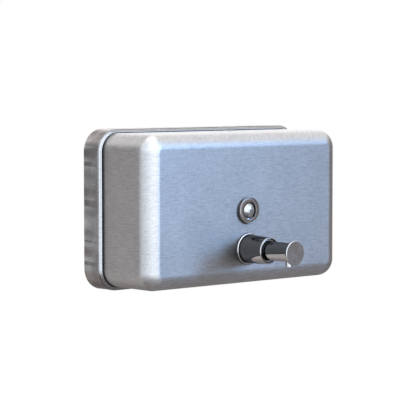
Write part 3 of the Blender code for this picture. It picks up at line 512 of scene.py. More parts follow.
def brushed_steel(name, color, roughness, anisotropy, mottle=0.5, blotch=0.0):
    """Satin stainless sheet: level brush marks round the sides and below, slanting ones over the top.

    mottle sets how wavy the sheet looks, and blotch how dark its soft patches are."""
    nodes = Nodes(name, color, 1.0, roughness)
    normal = nodes.add("ShaderNodeNewGeometry").outputs["Normal"]
    around, up = (1, -1, 0), (0, 0, 1)
    fine = streaks(nodes, around, up, 6 * MM, 0.22 * MM)
    coarse = streaks(nodes, around, up, 9 * MM, 1.1 * MM)
    slant = streaks(nodes, (0.62, 0.55, 0.55), (0.78, -0.44, -0.44), 7 * MM, 0.55 * MM)
    below = streaks(nodes, (1, 0, 0), (0, 1, 0.5), 9 * MM, 0.6 * MM)
    upward = nodes.dot(normal, up)
    on_top = nodes.remap(upward, 0.35, 0.8, 0.0, 1.0)
    underneath = nodes.remap(upward, -0.8, -0.5, 1.0, 0.0)
    level_marks = weighted(nodes, (fine, 0.4), (coarse, 0.6))
    grain = nodes.blend(on_top, nodes.blend(underneath, level_marks, below), slant)
    cloud = nodes.noise(nodes.position, 38.0, 3.0, 0.55)
    speck = nodes.noise(nodes.position, 420.0, 1.0, 0.5)
    grit = nodes.noise(nodes.position, 700.0, 1.0, 0.5)
    tone = weighted(nodes, (grain, 0.66), (cloud, 0.12), (grit, 0.22))
    tint = nodes.remap(tone, 0.37, 0.63, 0.0, 1.0)
    base = nodes.mix(tint, scaled(color, 0.80), scaled(color, 1.18))
    if blotch:
        dusk = nodes.remap(nodes.noise(nodes.position, 85.0, 1.0, 0.5), 0.44, 0.60, 0.0, blotch)
        base = nodes.mix(dusk, base, scaled(color, 0.55))
    pit = nodes.remap(speck, 0.73, 0.78, 0.0, 0.5)
    nodes.color(nodes.mix(pit, base, scaled(color, 0.55)))
    nodes.roughness(nodes.remap(tone, 0.3, 0.7, roughness * 0.86, roughness * 1.16))
    large = nodes.noise(nodes.position, 22.0, 2.0, 0.5)
    wavy = nodes.bump(large, 0.10 * MM * mottle)
    nodes.normal(nodes.bump(grain, 0.02 * MM, 0.8, wavy))
    # The highlight is drawn out across the marks, which run level round the sides.
    level = nodes.add("ShaderNodeVectorMath", operation="CROSS_PRODUCT")
    nodes.link(normal, level.inputs[0])
    level.inputs[1].default_value = (0, 0.12, 1)
    nodes.link(level.outputs[0], nodes.shader.inputs["Tangent"])
    nodes.shader.inputs["Anisotropic"].default_value = anisotropy
    nodes.shader.inputs["Anisotropic Rotation"].default_value = 0.25
    return nodes.material


def chrome(name, color, roughness):
    """Polished plate: nearly a mirror, with faint wipe marks and a very slight ripple."""
    nodes = Nodes(name, color, 1.0, roughness)
    smear = nodes.noise(nodes.position, 160.0, 3.0, 0.6, 0.4)
    nodes.color(nodes.mix(nodes.remap(smear, 0.35, 0.75, 0.0, 1.0), color, scaled(color, 0.90)))
    nodes.roughness(nodes.remap(smear, 0.3, 0.75, roughness * 0.7, roughness * 1.7))
    nodes.normal(nodes.bump(nodes.noise(nodes.position, 90.0), 0.012 * MM))
    return nodes.material


def plated_steel(name, color, roughness):
    """Zinc plate: a dull sheen with a fine crystal mottle."""
    nodes = Nodes(name, color, 1.0, roughness)
    spangle = nodes.add("ShaderNodeTexVoronoi", feature="F1")
    nodes.fill(spangle.inputs["Vector"], nodes.position)
    spangle.inputs["Scale"].default_value = 420.0
    cell = nodes.remap(spangle.outputs["Distance"], 0.1, 0.7, 0.0, 1.0)
    cloud = nodes.noise(nodes.position, 60.0, 4.0, 0.6)
    mixed = weighted(nodes, (cell, 0.4), (cloud, 0.6))
    nodes.color(nodes.mix(mixed, scaled(color, 0.80), scaled(color, 1.12)))
    nodes.roughness(nodes.remap(mixed, 0.2, 0.8, roughness * 0.8, roughness * 1.2))
    nodes.normal(nodes.bump(cloud, 0.03 * MM))
    return nodes.material


def moulded(name, color, roughness):
    """Moulded plastic or rubber with a fine matt grain."""
    nodes = Nodes(name, color, 0.0, roughness)
    fine = nodes.noise(nodes.position, 900.0, 2.0, 0.6)
    cloud = nodes.noise(nodes.position, 70.0, 3.0, 0.5)
    nodes.color(nodes.mix(cloud, scaled(color, 0.88), scaled(color, 1.08)))
    nodes.roughness(nodes.remap(fine, 0.3, 0.7, roughness * 0.85, min(1.0, roughness * 1.15)))
    nodes.normal(nodes.bump(fine, 0.02 * MM))
    return nodes.material


def lens_material(name):
    """Clear acrylic over bright metal, seen as a silvery dome."""
    color = (0.52, 0.53, 0.55)
    nodes = Nodes(name, color, 0.85, 0.16)
    swirl = nodes.noise(nodes.position, 260.0, 2.0, 0.5, 0.6)
    nodes.color(nodes.mix(swirl, scaled(color, 0.88), scaled(color, 1.1)))
    nodes.roughness(nodes.remap(swirl, 0.3, 0.7, 0.12, 0.22))
    nodes.shader.inputs["Coat Weight"].default_value = 0.6
    nodes.shader.inputs["Coat Roughness"].default_value = 0.04
    return nodes.material


STEEL = brushed_steel("brushed_shell_steel", (0.62, 0.625, 0.635), 0.34, 0.8)
SHROUD_STEEL = brushed_steel("satin_shroud_steel", (0.42, 0.405, 0.40), 0.24, 0.3, 0.8, 0.5)
INNER_STEEL = brushed_steel("inner_steel", (0.55, 0.55, 0.55), 0.40, 0.2)
CHROME = chrome("valve_chrome", (0.70, 0.70, 0.715), 0.055)
TURNED_CHROME = chrome("turned_cap_chrome", (0.70, 0.70, 0.725), 0.15)
LIP_STEEL = brushed_steel("polished_lip_steel", (0.47, 0.475, 0.495), 0.22, 0.3, 0.1)
ZINC = plated_steel("zinc_plate", (0.60, 0.60, 0.57), 0.40)
SPRING = chrome("drawn_spring_steel", (0.58, 0.58, 0.60), 0.22)
RUBBER = moulded("black_rubber", (0.03, 0.03, 0.032), 0.75)
PLASTIC = moulded("natural_acetal", (0.80, 0.80, 0.77), 0.42)
LENS = lens_material("sight_lens")
SLOT_LOOKS = {
    "shell_steel": INNER_STEEL,
    "shroud_steel": INNER_STEEL,
    "chrome": CHROME,
    "zinc_plate": ZINC,
    "spring_steel": SPRING,
    "rubber": RUBBER,
    "plastic": PLASTIC,
    "lens": LENS,
}


def dress_cad_nodes():
    """Every CAD node takes the material of its slot. Those that a piece replaces aren't shown."""
    for row in frame["record"]["subparts"]:
        node = frame["nodes"][row["node"]]
        node.data.materials.clear()
        node.data.materials.append(SLOT_LOOKS[row["material_slot"]])
        node.data.shade_smooth()
        node.data.set_sharp_from_angle(angle=math.radians(32))


# ---------------------------------------------------------------- body


def build_shell():
    """The drawn tank: tangent fillets, an out-turned flange, and its three holes."""
    low = (-TANK_WIDTH / 2, FACE_Y, -TANK_HEIGHT / 2)
    bm = block(low, (TANK_WIDTH / 2, FLANGE_REAR - SHEET, TANK_HEIGHT / 2))
    bevel(bm, edges_along(bm, 1), TANK_CORNER, 20)
    bevel(bm, rim(bm, 1, -1), TANK_FILLET, 16)
    rear = [face for face in bm.faces if face.normal.y > FLAT]
    bmesh.ops.delete(bm, geom=rear, context="FACES_ONLY")
    mouth = [edge for edge in bm.edges if edge.is_boundary]
    flange = bmesh.ops.extrude_edge_only(bm, edges=mouth)["geom"]
    core_x, core_z = TANK_WIDTH / 2 - TANK_CORNER, TANK_HEIGHT / 2 - TANK_CORNER
    for vertex in flange:
        if isinstance(vertex, bmesh.types.BMVert):
            core = Vector((min(max(vertex.co.x, -core_x), core_x), vertex.co.y, 0))
            core.z = min(max(vertex.co.z, -core_z), core_z)
            vertex.co += (vertex.co - core).normalized() * FLANGE_WIDTH
    mesh = bpy.data.meshes.new("shell")
    bm.to_mesh(mesh)
    bm.free()
    shell = add_piece("shell_skin", mesh, STEEL, "dispenser", "shell_steel", "front_shell")
    solidify = shell.modifiers.new("sheet", "SOLIDIFY")
    solidify.thickness = SHEET
    solidify.offset = -1.0
    solidify.use_even_offset = True
    applied(shell)
    through = 3 * MM
    for radius, z in ((8.9 * MM, VALVE_Z), (8.5 * MM, WINDOW_Z)):
        boolean(shell, rod(radius, (0, FACE_Y + through, z), (0, FACE_Y - through, z)))
    seat = 2.5 * MM  # the frame's width under the sheet
    low = (FRAME_LOW.x + seat, FRAME_LOW.y + seat, TANK_TOP - through)
    opening = block(low, (FRAME_HIGH.x - seat, FRAME_HIGH.y - seat, TANK_TOP + through))
    bevel(opening, edges_along(opening, 2), 2 * MM, 8)
    boolean(shell, opening)
    resharpen(shell)
    weighted_normals(shell)


def ripple(run):
    """The shroud's pressed-in waviness, from 0 to 1, at a distance run round its side."""
    wave = math.sin(run / (2.35 * MM)) + 0.55 * math.sin(run / (3.9 * MM) + 1.3)
    wave += 0.35 * math.sin(run / (6.7 * MM) + 4.0)
    return 0.5 + 0.5 * wave / 1.9


def build_shroud():
    """The rear part of the body. Its front edge holds a polished two-sheet lip behind a fine seam."""
    side_lip = LIP_SIDE - LIP_GAP
    top_share = (LIP_TOP - LIP_GAP) / side_lip
    ways = outline(BODY_WIDTH, BODY_HEIGHT, BODY_CORNER, 24, 1.6 * MM)
    front, rear = LIP_Y, SHROUD_HIGH.y
    seam = 0.35 * MM
    groove = 0.20 * MM
    foot = seam + groove
    crest = front - 1.35 * MM
    fold = (foot + side_lip) / 2  # between the lip's two sheets
    # Corners are (inset from the body's outside, y, radius, steps).
    path = rounded_path(
        [
            (0.0, rear, 0.25 * MM, 3),
            (0.0, front, 0.45 * MM, 5),
            (seam, front, 0.10 * MM, 2),
            (seam, front + 0.9 * MM, 0.0, 0),
            (foot, front + 0.9 * MM, 0.0, 0),
            (foot, front - 0.10 * MM, 0.30 * MM, 5),
            (fold - 0.20 * MM, front - 0.86 * MM, 0.05 * MM, 2),
            (fold - 0.12 * MM, front - 0.80 * MM, 0.0, 0),
            (fold - 0.04 * MM, front - 0.95 * MM, 0.05 * MM, 2),
            (side_lip - 0.55 * MM, crest, 0.60 * MM, 6),
            (side_lip, crest, 0.35 * MM, 6),
            (side_lip, front + SHEET, 0.0, 0),
            (SHEET, front + SHEET, 0.4 * MM, 3),
            (SHEET, rear, 0.25 * MM, 3),
        ]
    )
    length = abs(rear - front)
    rings = []
    for inset, y in path:
        ring, run, last = [], 0.0, ways[0][0]
        depth = (y - front) / length
        for point, way in ways:
            run += (point - last).length
            last = point
            share = 1.0 + (top_share - 1.0) * way.z**2
            dent = 0.0
            if inset <= SHEET and 0.06 < depth < 0.99:
                dent = 0.15 * MM * ripple(run + 0.35 * (y - front)) * min(1.0, depth * 1.6)
            ring.append(point - way * (inset * share + dent) + Vector((0, y, 0)))
        rings.append(ring)
    bm = bmesh.new()
    loft(bm, rings, closed_path=True)
    mesh = new_mesh("shroud", bm, 30)
    shroud = add_piece("shroud_skin", mesh, SHROUD_STEEL, "dispenser", "shroud_steel", "rear_shroud")
    mesh.materials.append(LIP_STEEL)
    for face in mesh.polygons:
        center = face.center
        edge = outline_inset(center.x, center.z)
        if center.y < front + 0.5 * MM and edge > foot - 0.05 * MM:
            face.material_index = 1
    for side in ("left", "right"):
        x, y, _ = middle("retaining_screw_" + side)
        boolean(shroud, rod(2.5 * MM, (x, y, SHROUD_LOW.z - MM), (x, y, SHROUD_LOW.z + 2 * MM)))
    resharpen(shroud)


def outline_inset(x, z):
    """How far inside the body's outline a point lies."""
    core_x, core_z = BODY_WIDTH / 2 - BODY_CORNER, BODY_HEIGHT / 2 - BODY_CORNER
    beyond = Vector((max(abs(x) - core_x, 0), max(abs(z) - core_z, 0)))
    return BODY_CORNER - beyond.length


# ---------------------------------------------------------------- window


def build_window():
    """The sight window: a bezel with a slightly crowned ring, and its domed lens."""
    at = (0, FACE_Y, WINDOW_Z)
    ring, ring_half = 7.9, 1.2
    spread = [step / 6 - 1 for step in range(13)]
    crown = [(ring + ring_half * share, 1.80 + 0.07 * (1 - share**2)) for share in spread]
    rim_radius, rim_height, stem_radius, stem_end = 10.2, 2.2, 8.2, -12.0
    bezel = in_mm(
        [
            *crown,
            (9.3, 1.60),
            (9.4, rim_height, 0.06, 2),
            (rim_radius, rim_height, 0.22, 5),
            (rim_radius, 0.02),
            (stem_radius, 0.02),
            (stem_radius, stem_end, 0.3, 2),
            (7.0, stem_end, 0.3, 2),
            (7.0, -1.3),
            (6.0, -1.3),
            (6.0, -0.2),
            (6.7, -0.2, 0.1, 2),
        ]
    )
    mesh = lathe("bezel", bezel, at)
    bezel = add_piece("window_bezel_skin", mesh, CHROME, "dispenser", "chrome", "window_bezel")
    weighted_normals(bezel)
    radius, foot, rise = 5.7, 0.5, 2.9
    dome = [(radius * u, foot + rise * v) for u, v in arc(0, 0, 1, 90, 0, 24)]
    flange = [(radius, -1.5), (6.6, -1.6), (6.6, -3.0), (radius, -3.0)]
    lens = in_mm(dome + flange + [(radius, -9.5), (0, -9.5)])
    add_piece("window_lens_skin", lathe("lens", lens, at), LENS, "dispenser", "lens", "window_lens")


# ---------------------------------------------------------------- valve


def build_valve():
    """The base disc, the tapered sleeve and the cylinder whose front edge shows in its mouth."""
    at = (0, FACE_Y, VALVE_Z)
    bore = 8.9
    disc = in_mm([(bore, 1.7), (12.2, 1.7, 0.7, 8), (12.2, 0.02), (bore, 0.02)])
    mesh = lathe("escutcheon", disc, at)
    disc = add_piece("escutcheon_skin", mesh, CHROME, "dispenser", "chrome", "valve_escutcheon")
    weighted_normals(disc)
    front = (FACE_Y - SLEEVE_LOW.y) / MM
    mouth_depth = 3.0
    sleeve = in_mm(
        [
            (9.3, front, 0.15, 3),
            (10.0, front, 0.40, 8),
            (10.8, 1.75, 0.25, 4),
            (bore, 1.75),
            (bore, front - mouth_depth),
            (9.2, front - mouth_depth),
        ]
    )
    mesh = lathe("sleeve", sleeve, at)
    sleeve = add_piece("valve_sleeve_skin", mesh, CHROME, "dispenser", "chrome", "valve_sleeve")
    weighted_normals(sleeve)
    edge = front - 0.8
    rear = (FACE_Y - CYLINDER_REAR) / MM
    inner, outer = 7.5, 8.6
    rows = [(inner, edge, 0.15, 3), (outer, edge, 0.25, 4), (outer, rear, 0.2, 2), (inner, rear, 0.2, 2)]
    mesh = lathe("cylinder", in_mm(rows), at)
    tube = add_piece("valve_cylinder_skin", mesh, CHROME, "dispenser", "shroud_steel", "valve_cylinder")
    weighted_normals(tube)


def build_plunger():
    """The moving tube, its push cap and the spout below it."""
    at = (0, FACE_Y, VALVE_Z)
    tube_low, tube_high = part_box("plunger_tube")
    spout_low, spout_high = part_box("spout_nozzle")
    spout_y = (spout_low.y + spout_high.y) / 2
    top, low = (FACE_Y - tube_low.y) / MM, (FACE_Y - tube_high.y) / MM
    outer, ball_bore, channel, stem_bore = 7.2, 3.6, 2.2, 4.0
    seat = low + 8.7
    stem_floor = (FACE_Y - spout_y) / MM - 2.8
    tube = in_mm(
        [
            (stem_bore, top, 0.2, 2),
            (outer, top, 0.2, 3),
            (outer, low, 0.2, 3),
            (ball_bore, low),
            (ball_bore, seat),
            (channel, seat),
            (channel, stem_floor),
            (stem_bore, stem_floor),
        ]
    )
    mesh = lathe("tube", tube, at)
    plunger = add_piece("plunger_tube_skin", mesh, CHROME, "plunger", "chrome", "plunger_tube")
    boolean(plunger, rod(2.8 * MM, (0, spout_y, VALVE_Z), (0, spout_y, VALVE_Z - 9 * MM), 40))
    resharpen(plunger)
    cap_front = (FACE_Y - CAP_Y) / MM
    cap_rear = cap_front - 1.7
    radius, stem, stem_length = 9.3, 3.7, 2.8
    cap = in_mm(
        [
            (0, cap_front),
            (radius, cap_front, 0.45, 8),
            (radius, cap_rear, 0.25, 4),
            (stem, cap_rear),
            (stem, cap_rear - stem_length, 0.3, 2),
            (0, cap_rear - stem_length),
        ]
    )
    mesh = lathe("cap", cap, at)
    cap = add_piece("push_cap_skin", mesh, TURNED_CHROME, "plunger", "chrome", "push_cap")
    weighted_normals(cap)
    length = (spout_high.z - spout_low.z) / MM
    nozzle = in_mm([(1.5, 0, 0.2, 3), (1.5, length), (2.5, length), (2.5, 0, 0.35, 5)])
    mesh = lathe("spout", nozzle, (0, spout_y, spout_low.z), 48, "+Z")
    add_piece("spout_skin", mesh, CHROME, "plunger", "chrome", "spout_nozzle")


# ---------------------------------------------------------------- back and wall fixing


def build_back():
    low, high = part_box("tank_back")
    corner = TANK_CORNER + FLANGE_WIDTH
    bm = slab(high.x - low.x, high.z - low.z, corner, low.y, high.y, 0.25 * MM)
    mesh = new_mesh("back", bm)
    add_piece("tank_back_skin", mesh, INNER_STEEL, "dispenser", "shell_steel", "tank_back")


def build_fixing():
    """The wall plate and the hanger rail: folded zinc-plated sheet, and their screws."""
    rail_low, rail_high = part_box("hanger_rail")
    sheet, lip = 1.2 * MM, 5.1 * MM
    top = rail_high.z - sheet / 2
    rail_path = [
        (rail_low.y + sheet / 2, rail_low.z),
        (rail_low.y + sheet / 2, top),
        (rail_high.y - sheet / 2, top),
        (rail_high.y - sheet / 2, top - lip),
    ]
    rail = prism(folded_section(rail_path, sheet, 0.7 * MM), rail_low.x, rail_high.x)
    add_piece("hanger_rail_skin", new_mesh("rail", rail), ZINC, "dispenser", "zinc_plate", "hanger_rail")
    plate_low, plate_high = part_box("wall_plate")
    sheet, hook_reach, hook_height = 1.6 * MM, 6.8 * MM, 5.8 * MM
    hook = plate_high.z - hook_height
    foot = plate_low.z + sheet / 2
    plate_path = [
        (plate_low.y, foot),
        (-sheet / 2, foot),
        (-sheet / 2, hook),
        (-hook_reach, hook),
        (-hook_reach, plate_high.z),
    ]
    folded = prism(folded_section(plate_path, sheet, 0.9 * MM), plate_low.x, plate_high.x)
    mesh = new_mesh("plate", folded)
    plate = add_piece("wall_plate_skin", mesh, ZINC, "dispenser", "zinc_plate", "wall_plate")
    through = 3 * MM
    for number in range(1, 5):
        x, _, z = middle(f"wall_screw_{number}")
        boolean(plate, rod(2.6 * MM, (x, -through, z), (x, through, z), 40))
        build_wall_screw(number, x, z)
    for side in ("left", "right"):
        low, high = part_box("retaining_screw_" + side)
        x, y, _ = middle("retaining_screw_" + side)
        boolean(plate, rod(2.2 * MM, (x, y, foot - through), (x, y, foot + through), 40))
        build_retaining_screw(side, x, y, low.z, high.z)
    resharpen(plate)


def build_wall_screw(number, x, z):
    """A pan head screw with a cross recess, its head on the plate and its shank towards the wall."""
    seat, top, edge, shank = 1.9, 4.3, 1.6, 2.0
    head = arc(edge, seat, top - seat, 90, 0, 8)
    profile = in_mm([(0, top), *head, (shank, seat), (shank, 0.2), (1.8, 0), (0, 0)])
    mesh = lathe("wall_screw", profile, (x, 0, z), 40)
    name = f"wall_screw_{number}"
    screw = add_piece(name + "_skin", mesh, ZINC, "dispenser", "zinc_plate", name)
    cross_recess(screw, (x, -top * MM, z), (0, -1, 0), 3.6 * MM, 1.5 * MM)


def build_retaining_screw(side, x, y, low, high):
    """A short grub screw with a thread and a hexagon socket, seen from below."""
    height = (high - low) / MM
    crest, root, turns = 1.9, 1.65, 9
    pitch = (height - 1.4) / turns
    profile = [(0, 0), (1.6, 0)]
    for index in range(turns):
        base = 0.4 + pitch * index
        profile += [(crest, base), (crest, base + 0.15 * pitch), (root, base + 0.6 * pitch)]
    profile += [(crest, height - 0.9), (1.2, height), (0, height)]
    mesh = lathe("grub_screw", in_mm(profile), (x, y, low), 40, "+Z", 50)
    name = "retaining_screw_" + side
    screw = add_piece(name + "_skin", mesh, ZINC, "dispenser", "zinc_plate", name)
    boolean(screw, rod(1.05 * MM, (x, y, low - MM), (x, y, low + 1.9 * MM), 6))
    resharpen(screw, 40)


# ---------------------------------------------------------------- filler lid and lock


def build_lid():
    """The filler lid, flush with the tank's top, its rear edge curled round the hinge pin."""
    sheet, knuckle, wall, lap = 1.0 * MM, 20 * MM, 0.9 * MM, 0.6 * MM
    top, eye = LID_HIGH.z, KNUCKLE_RADIUS
    hinge_z = top - eye
    rear = HINGE_Y - eye - 0.4 * MM
    bm = block((LID_LOW.x, LID_LOW.y, top - sheet), (LID_HIGH.x, rear, top))
    bevel(bm, edges_along(bm, 2), 1.6 * MM, 8)
    bevel(bm, rim(bm, 2, 1), 0.25 * MM, 3)
    lid = add_piece("filler_lid_skin", new_mesh("lid", bm), STEEL, "lid", "shell_steel", "filler_lid")
    outside = arc(HINGE_Y, hinge_z, eye, 90, -160, 30)
    inside = arc(HINGE_Y, hinge_z, eye - wall, -160, 90, 30)
    curl = [(rear - lap, top), *outside, *inside, (rear - lap, top - wall)]
    boolean(lid, prism(curl, -knuckle, knuckle), "UNION")
    through = 3 * MM
    boolean(lid, rod(5.3 * MM, (0, LOCK_Y, top - through), (0, LOCK_Y, top + through)))
    resharpen(lid)
    weighted_normals(lid)


def build_frame():
    """The filler frame under the tank's top: the CAD shape with softened edges."""
    source = frame["nodes"]["filler_frame"]
    bm = bmesh.new()
    bm.from_mesh(source.data)
    bmesh.ops.remove_doubles(bm, verts=bm.verts, dist=1e-4 * MM)
    bmesh.ops.dissolve_limit(bm, angle_limit=math.radians(1), verts=bm.verts, edges=bm.edges)
    mesh = bpy.data.meshes.new("filler_frame_skin")
    bm.to_mesh(mesh)
    bm.free()
    obj = add_piece("filler_frame_skin", mesh, INNER_STEEL, "dispenser", "shroud_steel", "filler_frame")
    modifier = obj.modifiers.new("soft_edges", "BEVEL")
    modifier.width = 0.15 * MM
    modifier.segments = 2
    modifier.limit_method = "ANGLE"
    modifier.angle_limit = math.radians(50)
    applied(obj)
    resharpen(obj, 40)


def build_gasket():
    low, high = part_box("lid_gasket")
    bm = block(low, high)
    bevel(bm, edges_along(bm, 2), 1.2 * MM, 6)
    bevel(bm, rim(bm, 2, -1, 1), 0.35 * MM, 3)
    gasket = add_piece("lid_gasket_skin", new_mesh("gasket", bm), RUBBER, "dispenser", "rubber", "lid_gasket")
    width = Vector((2.3 * MM, 2.3 * MM, -MM))
    inside = block(low + width, high - width)
    bevel(inside, edges_along(inside, 2), 0.8 * MM, 6)
    boolean(gasket, inside)
    resharpen(gasket, 40)


def build_lock():
    """The lock's threaded housing, and its barrel with a key slot."""
    low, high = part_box("lock_housing")
    top = (high.z - low.z) / MM
    bore, body, threads = 3.9, 5.0, 8
    profile = [(bore, top - 0.15), (4.05, top), (4.75, top), (body, top - 0.25)]
    profile += [(body, top - 1.3), (6.1, top - 1.3), (6.2, top - 1.4)]
    profile += [(6.2, top - 2.4), (6.1, top - 2.5), (4.7, top - 2.5)]
    for index in range(threads):
        base = top - 2.8 - (top - 3.2) * index / threads
        profile += [(body, base - 0.2), (4.75, base - 0.5)]
    profile += [(4.7, 0), (bore, 0)]
    mesh = lathe("housing", in_mm(profile), (0, LOCK_Y, low.z), 72, "+Z", 50)
    add_piece("lock_housing_skin", mesh, CHROME, "lid", "chrome", "lock_housing")
    low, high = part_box("lock_barrel")
    top = (high.z - low.z) / MM
    profile = [(0, top - 0.12), (2.9, top - 0.12), (3.1, top), (3.4, top), (3.6, top - 0.2)]
    profile += [(3.6, 0), (1.6, 0), (1.6, 3.6), (0, 3.6)]
    mesh = lathe("barrel", in_mm(profile), (0, LOCK_Y, low.z), 64, "+Z")
    barrel = add_piece("lock_barrel_skin", mesh, CHROME, "lock", "chrome", "lock_barrel")
    half, wide = 2.2 * MM, 0.5 * MM
    slot = block((-half, LOCK_Y - wide, high.z - 2.5 * MM), (half, LOCK_Y + wide, high.z + MM))
    bevel(slot, edges_along(slot, 2), 0.3 * MM, 4)
    boolean(barrel, slot)
    resharpen(barrel)


# ---------------------------------------------------------------- springs and balls


def build_springs():
    """Wound springs, each with a mesh of its own."""
    # Name, radii of the coil and the wire, turns, body, joint, side of the fixed end, travel.
    rows = (
        ("return_spring", 6.10, 0.45, 7.5, "dispenser", "plunger_push", 1, 15.0),
        ("outlet_spring", 2.70, 0.25, 5.5, "plunger", "outlet_ball_lift", -1, 1.2),
        ("inlet_spring", 2.40, 0.25, 4.5, "dispenser", "inlet_ball_lift", -1, 1.2),
    )
    for name, radius, wire, turns, body, joint, side, travel in rows:
        low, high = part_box(name)
        mesh = helix(name, radius * MM, wire * MM, turns, (0, 0, VALVE_Z), low.y, high.y)
        spring = add_piece(name + "_coil", mesh, SPRING, body, "spring_steel", name)
        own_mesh(spring)


def build_balls():
    for name, radius in (("inlet_ball", 3.2), ("outlet_ball", 2.8)):
        profile = in_mm(arc(0, 0, radius, 90, -90, 28))
        mesh = lathe(name, profile, (0, middle(name).y, VALVE_Z), 48)
        add_piece(name + "_skin", mesh, SPRING, name, "spring_steel", name)


# ---------------------------------------------------------------- stage

# Where the camera stands, seen from its target. Angles are in degrees, as in direction().
AZIMUTH, ELEVATION = 227.53, 3.86
DISTANCE = 1.4768
TARGET = Vector((-0.00843, -0.035, -0.00112))
LENS_MM = 165.5
SENSOR_MM = 36.0


def direction(azimuth, elevation):
    """A unit vector. Azimuth 0 is +X and 270 is straight in front of the object, -Y."""
    a, e = math.radians(azimuth), math.radians(elevation)
    return Vector((math.cos(a) * math.cos(e), math.sin(a) * math.cos(e), math.sin(e)))


def build_camera():
    data = bpy.data.cameras.new("camera")
    data.lens = LENS_MM
    data.sensor_width = SENSOR_MM
    data.clip_end = 100.0
    camera = bpy.data.objects.new("camera", data)
    bpy.context.scene.collection.objects.link(camera)
    back = direction(AZIMUTH, ELEVATION)
    camera.location = TARGET + back * DISTANCE
    camera.rotation_mode = "QUATERNION"
    camera.rotation_quaternion = (-back).to_track_quat("-Z", "Y")
    bpy.context.scene.camera = camera


# Soft lights of the studio. Azimuths run anticlockwise from +X, so 270 is straight in front.
# Each row: azimuth range, widths of its two soft edges, elevation range, widths of its two
# soft edges, color, strength. A row of negative strength is a dark panel.
LIGHTS = (
    ((150, 300), (50, 16), (-16, 58), (14, 16), (0.80, 0.90, 1.0), 1.06),
    ((212, 290), (60, 24), (-16, 58), (14, 16), (0.86, 0.93, 1.0), 0.80),
    ((292, 316), (14, 18), (5, 25), (6, 12), (0.32, 0.58, 1.0), 4.4),
    ((300, 428), (30, 40), (24, 80), (14, 14), (1.0, 0.97, 0.95), 0.66),
    ((385, 470), (30, 30), (-2, 34), (8, 10), (1.0, 0.97, 0.96), 0.9),
    ((-30, 390), (10, 10), (64, 95), (12, 4), (1.0, 1.0, 1.0), 1.5),
    ((90, 165), (30, 20), (26, 70), (12, 10), (1.0, 0.95, 0.93), 0.46),
    ((96, 165), (30, 20), (-50, -8), (12, 16), (1.0, 0.95, 0.93), 0.22),
    ((96, 165), (30, 20), (-2, 20), (12, 10), (1.0, 1.0, 1.0), -0.20),
    ((296, 385), (16, 20), (-30, 3), (12, 6), (1.0, 0.95, 0.90), -0.06),
)
FLOOR_Z = -1.1
ROOM_UP = (0.46, 0.445, 0.44)
ROOM_LEVEL = (0.30, 0.28, 0.275)
ROOM_DOWN = (0.27, 0.245, 0.24)
DEEP_SHADE = 0.035  # the share of the studio's light that a second reflection sees
FIRST_REFLECTION = 2.5  # a ray depth above that of a first reflection


class WorldNodes(Nodes):
    """The same short calls for the world, with windows of light by angle. height is in radians."""

    def __init__(self, world):
        self.tree = world.node_tree
        self.way = self.add("ShaderNodeTexCoord").outputs["Generated"]
        self.height = self.math("ARCSINE", self.dot(self.way, (0, 0, 1)))

    def window(self, angle, low, high, soft_low, soft_high):
        """1 between two angles, fading to 0 over its soft edges."""
        degrees = math.radians
        rise = self.remap(angle, degrees(low - soft_low / 2), degrees(low + soft_low / 2), 0, 1)
        fall = self.remap(angle, degrees(high - soft_high / 2), degrees(high + soft_high / 2), 1, 0)
        return self.math("MULTIPLY", rise, fall)

    def light(self, azimuths, azimuth_edges, elevations, elevation_edges):
        center = sum(azimuths) / 2
        ahead, side = direction(center, 0), direction(center + 90, 0)
        turn = self.math("ARCTAN2", self.dot(self.way, side), self.dot(self.way, ahead))
        across = self.window(turn, azimuths[0] - center, azimuths[1] - center, *azimuth_edges)
        up = self.window(self.height, *elevations, *elevation_edges)
        return self.math("MULTIPLY", across, up)

    def add_color(self, factor, first, second):
        """The first color plus the second by a factor."""
        node = self.add("ShaderNodeMix", data_type="RGBA", blend_type="ADD", clamp_factor=False)
        self.fill(node.inputs["Factor"], factor)
        sockets = [socket for socket in node.inputs if socket.type == "RGBA"]
        self.fill(sockets[0], first)
        sockets[1].default_value = (*second, 1)
        return next(s for s in node.outputs if s.type == "RGBA")


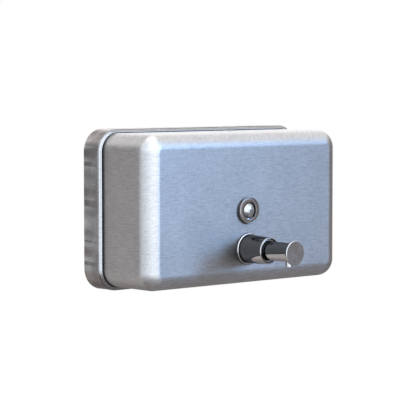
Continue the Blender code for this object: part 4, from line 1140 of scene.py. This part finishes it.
def build_world():
    world = bpy.data.worlds.new("studio")
    world.use_nodes = True
    bpy.context.scene.world = world
    nodes = WorldNodes(world)
    background = world.node_tree.nodes["Background"]
    below = nodes.mix(nodes.remap(nodes.height, -0.5, 0.0, 0, 1), ROOM_DOWN, ROOM_LEVEL)
    room = nodes.mix(nodes.remap(nodes.height, 0.0, 0.6, 0, 1), below, ROOM_UP)
    for *place, color, strength in LIGHTS:
        share = nodes.math("MULTIPLY", nodes.light(*place), strength)
        room = nodes.add_color(share, room, color)
    path = nodes.add("ShaderNodeLightPath")
    deep = nodes.math("GREATER_THAN", path.outputs["Ray Depth"], FIRST_REFLECTION)
    shade = nodes.mix(deep, (1, 1, 1), (DEEP_SHADE, DEEP_SHADE, DEEP_SHADE))
    shaded = nodes.add("ShaderNodeMix", data_type="RGBA", blend_type="MULTIPLY")
    shaded.inputs["Factor"].default_value = 1.0
    sockets = [socket for socket in shaded.inputs if socket.type == "RGBA"]
    nodes.link(room, sockets[0])
    nodes.link(shade, sockets[1])
    lit = next(s for s in shaded.outputs if s.type == "RGBA")
    nodes.link(nodes.mix(path.outputs["Is Camera Ray"], lit, (1, 1, 1)), background.inputs["Color"])


def build_floor():
    bm = bmesh.new()
    bmesh.ops.create_grid(bm, x_segments=2, y_segments=2, size=6.0)
    floor = bpy.data.objects.new("floor", new_mesh("floor", bm))
    floor.location.z = FLOOR_Z
    bpy.context.scene.collection.objects.link(floor)
    material = bpy.data.materials.new("pale_floor")
    material.use_nodes = True
    shader = material.node_tree.nodes["Principled BSDF"]
    shader.inputs["Base Color"].default_value = (0.9, 0.9, 0.89, 1)
    shader.inputs["Roughness"].default_value = 0.9
    shader.inputs["Emission Color"].default_value = (1, 1, 1, 1)
    shader.inputs["Emission Strength"].default_value = 0.4
    floor.data.materials.append(material)
    floor.visible_glossy = False


bpy.context.scene.view_settings.view_transform = "Standard"
dress_cad_nodes()
build_camera()
build_world()
build_floor()
build_shell()
build_shroud()
build_window()
build_valve()
build_plunger()
build_back()
build_fixing()
build_lid()
build_frame()
build_gasket()
build_lock()
build_springs()
build_balls()
